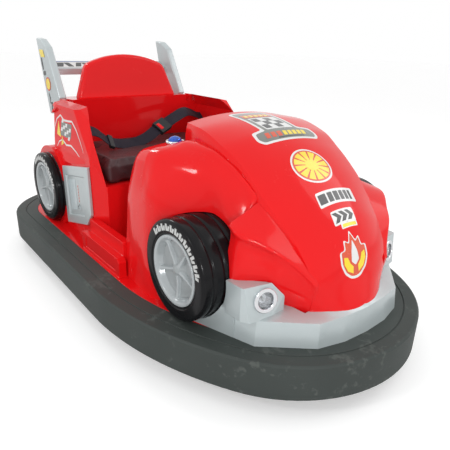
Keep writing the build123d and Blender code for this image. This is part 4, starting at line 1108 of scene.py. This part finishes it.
def repeated(obj, count, step, start, centre, finish):
    """The object, repeated about an axis by the geometry nodes."""
    if "repeat" not in TREES:
        TREES["repeat"] = repeat_tree()
    tree = TREES["repeat"]
    values = {"Count": count, "Step": step, "Start": start, "Centre": Vector(centre) * MM,
              "Finish": FINISHES[finish]}
    ring = obj.modifiers.new("ring", "NODES")
    ring.node_group = tree
    for item in tree.interface.items_tree:
        if item.in_out == "INPUT" and item.name in values:
            ring[item.identifier] = values[item.name]
    return applied(obj)


def spoke(side, outer):
    """Raised rib from the hub to the rim's lip, along X."""
    rows = []
    for r, width, top in SPOKE:
        section = [(-width, SPOKE_FOOT), (-width * 0.5, top + 1.6), (-width * 0.2, top), (width * 0.2, top),
                   (width * 0.5, top + 1.6), (width, SPOKE_FOOT)]
        rows.append([(r, side * (outer - d), z) for z, d in section])
    return capped_loft("spoke", rows)


def tyre_mark(side, y, low, high, width, slant):
    """One printed block on the tyre's side, at the top of the ring."""
    corners = [(-width / 2 - slant, low), (width / 2 - slant, low), (width / 2 + slant, high),
               (-width / 2 + slant, high)]
    verts = [(x, side * (y + d), z) for d in (0.0, 0.5) for x, z in corners]
    faces = [(0, 1, 2, 3), (4, 5, 6, 7)] + [(k, (k + 1) % 4, 4 + (k + 1) % 4, 4 + k) for k in range(4)]
    return bare("mark", verts, faces)


def mock_wheel(wheel, name, side, spokes):
    """Tyre, dish, spoked rim and printed blocks of one mock wheel."""
    place, x, height, radius, bead, inner, outer = wheel
    centre, hub = (x, DECK + height), (x, 0, DECK + height)
    solid_rim = (f"mock_rim_{place}_{name}",)
    tyre = wheel_ring(f"tyre_{place}_{name}", tyre_profile(inner, outer, radius, bead), centre, side,
                      DECK + FLOOR_GAP)
    settle(tyre, "tyre", replaces=(f"mock_tyre_{place}_{name}",))
    # The dish's darker grey is painted shade of its recess; the lip's and ribs' lighter grey further down is
    # painted highlight.
    dish = wheel_ring(f"dish_{place}_{name}", dish_profile(outer, bead), centre, side)
    settle(dish, "dish", replaces=solid_rim, angle=30)
    lip = wheel_ring("rim", lip_profile(outer, bead), centre, side)
    ribs = repeated(spoke(side, outer), spokes, 2 * math.pi / spokes, math.pi / 10, hub, "rim")
    settle(joined([lip, ribs], f"rim_{place}_{name}"), "rim", replaces=solid_rim, angle=30)
    marks = []
    for offset, low, high, width, slant in TYRE_MARKS:
        block = tyre_mark(side, outer - 0.1, low, high, width, slant)
        start = (MARK_START - MARK_STEP * offset) * side
        marks.append(repeated(block, MARK_COUNT, -MARK_STEP * side, start, hub, "marks"))
    settle(joined(marks, f"tyre_marks_{place}_{name}"), "marks")


# Webbing: x from the rear wheels' centre, y, height above the deck

BELT_RIGHT = ((288, -346, 428), (288, -334, 428), (276, -292, 414), (268, -232, 370), (258, -130, 352),
              (240, -50, 366), (221.8, 5.7, 389), (209.3, 41.1, 400.7))
BELT_LEFT = ((208.7, 42.9, 401.3), (196.2, 78.3, 413), (178, 130, 430), (138, 215, 446), (98, 290, 428),
             (88, 334, 410), (88, 348.5, 410))
BELT_LEAN = np.array((0.77, 0.0, -0.64))
BELT_THICK = 2.4
BELT_FACE = 1.3
# The buckle's release button: lift and setback from the belt's end, length, width and thickness
BUTTON_PLACE = (11.5, 18.0)
BUTTON_SIZE = (17.0, 34.0, 4.0)


def belt_sides(ahead):
    """Directions across a belt and up from its face, from the one along it."""
    across = BELT_LEAN - ahead * BELT_LEAN.dot(ahead)
    across /= np.linalg.norm(across)
    up = np.cross(ahead, across)
    return across, up if up[2] > 0 else -up


def belt_axes(route, i):
    """Place on a belt's route, with the directions along it, across it and up from its face."""
    points = [np.array((REAR + x, y, DECK + h)) for x, y, h in route]
    ahead = points[min(i + 1, len(points) - 1)] - points[max(i - 1, 0)]
    ahead = ahead / np.linalg.norm(ahead)
    return points[i], ahead, *belt_sides(ahead)


def flowing_line(points, step=5.0):
    """Smooth line through points, with centripetal spacing."""
    table = np.array(points, float)
    t = np.concatenate([[0], np.cumsum(np.sqrt(np.linalg.norm(np.diff(table, axis=0), axis=1)))])
    count = int(np.linalg.norm(np.diff(table, axis=0), axis=1).sum() / step)
    stations = np.linspace(0, t[-1], count)
    slopes = np.gradient(table, t, axis=0)
    out = []
    for s in stations:
        i = min(int(np.searchsorted(t, s, side="right")) - 1, len(t) - 2)
        span = t[i + 1] - t[i]
        k = (s - t[i]) / span
        out.append(table[i] * (1 + 2 * k) * (1 - k) ** 2 + slopes[i] * span * k * (1 - k) ** 2
                   + table[i + 1] * k * k * (3 - 2 * k) + slopes[i + 1] * span * k * k * (k - 1))
    return np.array(out)


def webbing(name, route, width, replaces):
    """Woven strap along its route, its middle slightly bowed."""
    line = flowing_line([(REAR + x, y, DECK + h) for x, y, h in route])
    ahead = np.gradient(line, axis=0)
    ahead /= np.linalg.norm(ahead, axis=1)[:, None]
    rows = []
    for k, (p, t) in enumerate(zip(line, ahead)):
        across, up = belt_sides(t)
        ends = min(k, len(line) - 1 - k) / 10
        bow = 1.2 * min(1.0, ends) * math.sin(k * 0.21)
        places = np.linspace(-width / 2, width / 2, 11)
        top = [(a, BELT_FACE + bow * (1 - (a * 2 / width) ** 2)) for a in places]
        under = [(a, b - BELT_THICK) for a, b in reversed(top)]
        rows.append([tuple(p + across * a + up * b) for a, b in top + under])
    return settle(capped_loft(name, rows), "webbing", replaces=(replaces,))


# Lamps: along the lamp's look from its place, then across it

LAMP_PLACE = (233.0, 276.0, 128.0)
LAMP_TURN = math.radians(12)
LAMP_RAKE = math.radians(8)
# Profiles of (depth along the look, radius)
LAMP_BOWL = ((-2.2, 22.4), (-6, 20), (-12, 14), (-16.5, 7), (-17.5, 0), (-19, 0), (-18, 8), (-13.5, 16),
             (-7.5, 22.4), (-2.2, 22.4))
LAMP_BULB = ((-15, 0), (-15, 3.5), (-9, 4.5), (-6, 3), (-5, 0))
LAMP_GLASS = ((-1.2, 0), (-1.2, 22.6), (1.0, 22.6), (2.6, 17), (3.8, 9), (4.2, 0))


def lamp_frame(side):
    """Place of a headlamp, with the directions of its look, across it and up."""
    look = Vector((math.cos(LAMP_TURN), side * math.sin(LAMP_TURN), math.sin(LAMP_RAKE))).normalized()
    across = Vector((-look.y, look.x, 0)).normalized()
    x, y, h = LAMP_PLACE
    return Vector((FRONT + x, side * y, DECK + h)), look, across, look.cross(across)


def lamp_ring(name, profile, side):
    """Form turned about a headlamp's look."""
    origin, look, across, up = lamp_frame(side)
    steps = 48
    verts = []
    for depth, radius in profile:
        for k in range(steps):
            a = 2 * math.pi * k / steps
            verts.append(tuple(origin + look * depth + (across * math.cos(a) + up * math.sin(a)) * radius))
    return bare(name, verts, grid_faces(len(profile), steps, wrap=True))


# Stage

# Lamps: name, place in metres, size, power in watts
STUDIO_LAMPS = (("key", (3.1, -1.4, 1.3), 0.45, 24), ("fill", (0.2, -3.0, 2.3), 0.5, 16),
                ("far", (1.6, 2.6, 2.7), 2.4, 22), ("back", (-2.8, -0.6, 2.6), 0.6, 14))
LAMPS_AIM = (0, 0, 0.4)
CAMERA_PLACE = (1.4747, -1.0282, 0.9247)
# Degrees: heading from straight ahead of the car, tilt down, roll
CAMERA_TURN = (38.79, 21.56, 1.75)
CAMERA_LENS = 37.006
SENSOR_WIDTH = 36.0
FLOOR_REACH = 30.0


def studio_floor():
    """White floor that looks as bright as the background."""
    corners = [(i * FLOOR_REACH, j * FLOOR_REACH, 0) for i, j in ((-1, -1), (1, -1), (1, 1), (-1, 1))]
    mesh = bpy.data.meshes.new("studio_floor")
    mesh.from_pydata(corners, [], [(0, 1, 2, 3)])
    floor = linked("studio_floor", mesh)
    paper = bpy.data.materials.new("studio_paper")
    paper.use_nodes = True
    tree = paper.node_tree
    skin = tree.nodes["Principled BSDF"]
    skin.inputs["Base Color"].default_value = (0.82, 0.82, 0.82, 1)
    skin.inputs["Roughness"].default_value = 0.9
    skin.inputs["Emission Color"].default_value = (1, 1, 1, 1)
    seen = tree.nodes.new("ShaderNodeLightPath")
    glow = maths(tree, "MULTIPLY", seen.outputs["Is Camera Ray"], 0.32)
    tree.links.new(glow, skin.inputs["Emission Strength"])
    floor.data.materials.append(paper)


def studio_world(scene):
    """White world, full where it is seen, mirrored or looked through, and dimmer as a light."""
    world = bpy.data.worlds.new("studio")
    world.use_nodes = True
    scene.world = world
    tree = world.node_tree
    back = tree.nodes["Background"]
    path = tree.nodes.new("ShaderNodeLightPath")
    seen = maths(tree, "MAXIMUM", path.outputs["Is Camera Ray"], path.outputs["Is Transmission Ray"])
    seen = maths(tree, "MAXIMUM", seen, path.outputs["Is Glossy Ray"])
    strength = maths(tree, "MULTIPLY_ADD", seen, 0.22, 0.78)
    back.inputs["Color"].default_value = (1, 1, 1, 1)
    tree.links.new(strength, back.inputs["Strength"])


def studio_lamps():
    """Round soft lamps, all aimed at the car's middle."""
    for name, place, size, power in STUDIO_LAMPS:
        data = bpy.data.lights.new(name, "AREA")
        data.shape = "DISK"
        data.size = size
        data.energy = power
        lamp = linked(name, data)
        lamp.location = place
        aim = Vector(LAMPS_AIM) - Vector(place)
        lamp.rotation_mode = "QUATERNION"
        lamp.rotation_quaternion = aim.to_track_quat("-Z", "Y")


def photo_camera(scene):
    """Camera that sees the car as the photograph does."""
    data = bpy.data.cameras.new("photo_view")
    data.lens = CAMERA_LENS
    data.sensor_width = SENSOR_WIDTH
    camera = linked("photo_view", data)
    heading, pitch, roll = (math.radians(v) for v in CAMERA_TURN)
    look = Vector((-math.cos(heading) * math.cos(pitch), math.sin(heading) * math.cos(pitch),
                   -math.sin(pitch)))
    right = look.cross(Vector((0, 0, 1))).normalized()
    up = right.cross(look)
    c, s = math.cos(roll), math.sin(roll)
    right, up = right * c + up * s, up * c - right * s
    place = Matrix((right, up, -look)).transposed().to_4x4()
    place.translation = CAMERA_PLACE
    camera.matrix_world = place
    scene.camera = camera


# Operators

class CarPaint(bpy.types.PropertyGroup):
    gelcoat: FloatVectorProperty(name="Gelcoat", description="Red of the moulded body", subtype="COLOR",
                                 size=3, default=(0.80, 0.008, 0.010), min=0, max=1)
    silver: FloatVectorProperty(name="Silver", description="Paint of the apron, fins and side panels",
                                subtype="COLOR", size=3, default=(0.52, 0.58, 0.59), min=0, max=1)
    rubber: FloatVectorProperty(name="Bumper rubber", description="Grey green of the bumper ring",
                                subtype="COLOR", size=3, default=(0.036, 0.043, 0.040), min=0, max=1)
    vinyl: FloatVectorProperty(name="Seat vinyl", description="Brown of the bench cushion",
                               subtype="COLOR", size=3, default=(0.050, 0.020, 0.022), min=0, max=1)


class CarSizes(bpy.types.PropertyGroup):
    moulded_edge: FloatProperty(name="Moulded edge", description="Radius of the body's soft edges",
                                default=7 * MM, min=1 * MM, max=15 * MM, unit="LENGTH", precision=4)
    rubber_edge: FloatProperty(name="Rubber edge", description="Radius of the bumper's edges",
                               default=5 * MM, min=1 * MM, max=12 * MM, unit="LENGTH", precision=4)
    spokes: IntProperty(name="Spokes", description="Spokes of each moulded rim", default=5, min=3, max=9)
    webbing_width: FloatProperty(name="Webbing width", description="Width of the lap belt", default=50 * MM,
                                 min=30 * MM, max=60 * MM, unit="LENGTH", precision=4)


class BUMPERCAR_OT_finishes(bpy.types.Operator):
    """Builds the paints, rubbers, vinyl and films"""
    bl_idname = "bumpercar.finishes"
    bl_label = "Finishes"

    def execute(self, context):
        build_finishes(context.scene.car_paint)
        return {"FINISHED"}


class BUMPERCAR_OT_front_body(bpy.types.Operator):
    """Moulds the hood, nose, fenders and cheeks"""
    bl_idname = "bumpercar.front_body"
    bl_label = "Front body"

    def execute(self, context):
        parts = [hood_shell()]
        for _, side in MIRRORED:
            parts += [fender(side), cheek(side)]
        settle(joined(parts, "front_moulding"), "red", replaces=("front_body",))
        return {"FINISHED"}


class BUMPERCAR_OT_body_panels(bpy.types.Operator):
    """Softens the edges of the other body pieces"""
    bl_idname = "bumpercar.body_panels"
    bl_label = "Body panels"

    def execute(self, context):
        edge = context.scene.car_sizes.moulded_edge / MM
        rear_moulding(edge)
        softened("lower_tub", "red", edge * 0.6)
        seat_back(edge * 2)
        softened("front_apron", "silver", edge * 0.5, angle=12)
        softened("spoiler_bar", "silver", 3, angle=20)
        for name, side in MIRRORED:
            apron_wing(name, side)
            softened(f"fin_{name}", "silver", 7, angle=15)
            softened(f"side_vent_{name}", "silver", 2.5, angle=15)
        return {"FINISHED"}


class BUMPERCAR_OT_bumper(bpy.types.Operator):
    """Rounds the rubber bumper"""
    bl_idname = "bumpercar.bumper"
    bl_label = "Bumper"

    def execute(self, context):
        softened("bumper_ring", "rubber", context.scene.car_sizes.rubber_edge / MM, angle=25)
        return {"FINISHED"}


class BUMPERCAR_OT_wheels(bpy.types.Operator):
    """Turns the mock wheels: tyres, ribbed rims and the blocks printed on the tyres"""
    bl_idname = "bumpercar.wheels"
    bl_label = "Mock wheels"

    def execute(self, context):
        spokes = context.scene.car_sizes.spokes
        for wheel in MOCK_WHEELS:
            for name, side in MIRRORED:
                mock_wheel(wheel, name, side, spokes)
        return {"FINISHED"}


class BUMPERCAR_OT_lamps(bpy.types.Operator):
    """Headlamps with reflectors and glasses, and the blue jewels on the fenders"""
    bl_idname = "bumpercar.lamps"
    bl_label = "Lamps"

    def execute(self, context):
        for name, side in MIRRORED:
            softened(f"headlamp_bezel_{name}", "chrome", 2.5)
            settle(lamp_ring(f"lamp_reflector_{name}", LAMP_BOWL, side), "bowl")
            settle(lamp_ring(f"lamp_bulb_{name}", LAMP_BULB, side), "white_ink")
            settle(lamp_ring(f"lamp_glass_{name}", LAMP_GLASS, side), "clear",
                   replaces=(f"headlamp_lens_{name}",))
            softened(f"jewel_bezel_{name}", "chrome", 2.5)
            softened(f"jewel_dome_{name}", "jewel", 0.8, angle=10)
        return {"FINISHED"}


class BUMPERCAR_OT_seat_pad(bpy.types.Operator):
    """Swells the bench cushion with a cloth simulation"""
    bl_idname = "bumpercar.seat_pad"
    bl_label = "Seat pad"

    def execute(self, context):
        swollen_cushion(context.scene)
        return {"FINISHED"}


class BUMPERCAR_OT_lap_belt(bpy.types.Operator):
    """Lays the lap belt with its buckle and slide"""
    bl_idname = "bumpercar.lap_belt"
    bl_label = "Lap belt"

    def execute(self, context):
        width = context.scene.car_sizes.webbing_width / MM
        webbing("strap_right", BELT_RIGHT, width, "belt_right")
        webbing("strap_left", BELT_LEFT, width, "belt_left")
        softened("belt_buckle", "plastic", 5)
        softened("belt_adjuster", "plastic", 3)
        here, ahead, across, up = belt_axes(BELT_LEFT, 0)
        middle = here + up * BUTTON_PLACE[0] - ahead * BUTTON_PLACE[1]
        button = slab_at("release_button", middle, (ahead, across, up), BUTTON_SIZE)
        rounded_edges(button, 1.5)
        settle(button, "red")
        return {"FINISHED"}


class BUMPERCAR_OT_controls(bpy.types.Operator):
    """Finishes the steering, pedal, dash and the running gear"""
    bl_idname = "bumpercar.controls"
    bl_label = "Controls and running gear"

    def execute(self, context):
        pieces = [("dash_panel", "plastic", 1, "chassis"), ("pedal", "plastic", 2, "chassis"),
                  ("steering_gearbox", "motor", 2, "chassis"), ("battery_pack", "plastic", 4, "chassis"),
                  ("bumper_hoop", "steel", 1.5, "chassis"), ("chassis_frame", "steel", 1.5, "chassis"),
                  ("drive_bridge", "steel", 1, "chassis"), ("steering_wheel", "plastic", 2.5, "steering"),
                  ("steering_shaft", "zinc", 0.6, "steering"), ("drive_fork", "zinc", 1, "fork"),
                  ("drive_motor", "motor", 2, "fork"), ("drive_tyre", "tread", 4, "front_wheel"),
                  ("drive_hub", "motor", 1, "front_wheel")]
        for name, _ in MIRRORED:
            pieces += [(f"caster_fork_{name}", "zinc", 0.8, f"swivel_{name}"),
                       (f"caster_wheel_{name}", "grey_rubber", 3, f"roller_{name}")]
        for node, finish, width, body in pieces:
            softened(node, finish, width, body=body)
        return {"FINISHED"}


class BUMPERCAR_OT_films(bpy.types.Operator):
    """Lays the crest, emblems and stripes on the body"""
    bl_idname = "bumpercar.films"
    bl_label = "Films"

    def execute(self, context):
        hood_films()
        for name, side in MIRRORED:
            flank_films(name, side)
        bar_film()
        return {"FINISHED"}


class BUMPERCAR_OT_stage(bpy.types.Operator):
    """Floor, soft lamps and the camera"""
    bl_idname = "bumpercar.stage"
    bl_label = "Stage"

    def execute(self, context):
        context.scene.view_settings.view_transform = "Standard"
        studio_floor()
        studio_world(context.scene)
        studio_lamps()
        photo_camera(context.scene)
        return {"FINISHED"}


class BUMPERCAR_PT_panel(bpy.types.Panel):
    """Lists the sizes, colours and building steps"""
    bl_idname = "BUMPERCAR_PT_panel"
    bl_label = "Bumper car"
    bl_space_type = "VIEW_3D"
    bl_region_type = "UI"
    bl_category = "Bumper car"

    def draw(self, context):
        for group in (context.scene.car_paint, context.scene.car_sizes):
            for name in group.__annotations__:
                self.layout.prop(group, name)
        for operator in OPERATORS:
            self.layout.operator(operator.bl_idname)


OPERATORS = (BUMPERCAR_OT_finishes, BUMPERCAR_OT_front_body, BUMPERCAR_OT_body_panels, BUMPERCAR_OT_bumper,
             BUMPERCAR_OT_wheels, BUMPERCAR_OT_lamps, BUMPERCAR_OT_seat_pad, BUMPERCAR_OT_lap_belt,
             BUMPERCAR_OT_controls, BUMPERCAR_OT_films, BUMPERCAR_OT_stage)
CLASSES = (CarPaint, CarSizes, *OPERATORS, BUMPERCAR_PT_panel)


def register():
    """Adds the classes and the car's settings to Blender."""
    for cls in CLASSES:
        bpy.utils.register_class(cls)
    bpy.types.Scene.car_paint = PointerProperty(type=CarPaint)
    bpy.types.Scene.car_sizes = PointerProperty(type=CarSizes)


def unregister():
    """Takes them away again."""
    del bpy.types.Scene.car_paint
    del bpy.types.Scene.car_sizes
    for cls in reversed(CLASSES):
        bpy.utils.unregister_class(cls)


def main():
    """Builds the car and its stage."""
    register()
    for operator in OPERATORS:
        family, name = operator.bl_idname.split(".")
        getattr(getattr(bpy.ops, family), name)()


if __name__ == "__main__":
    main()
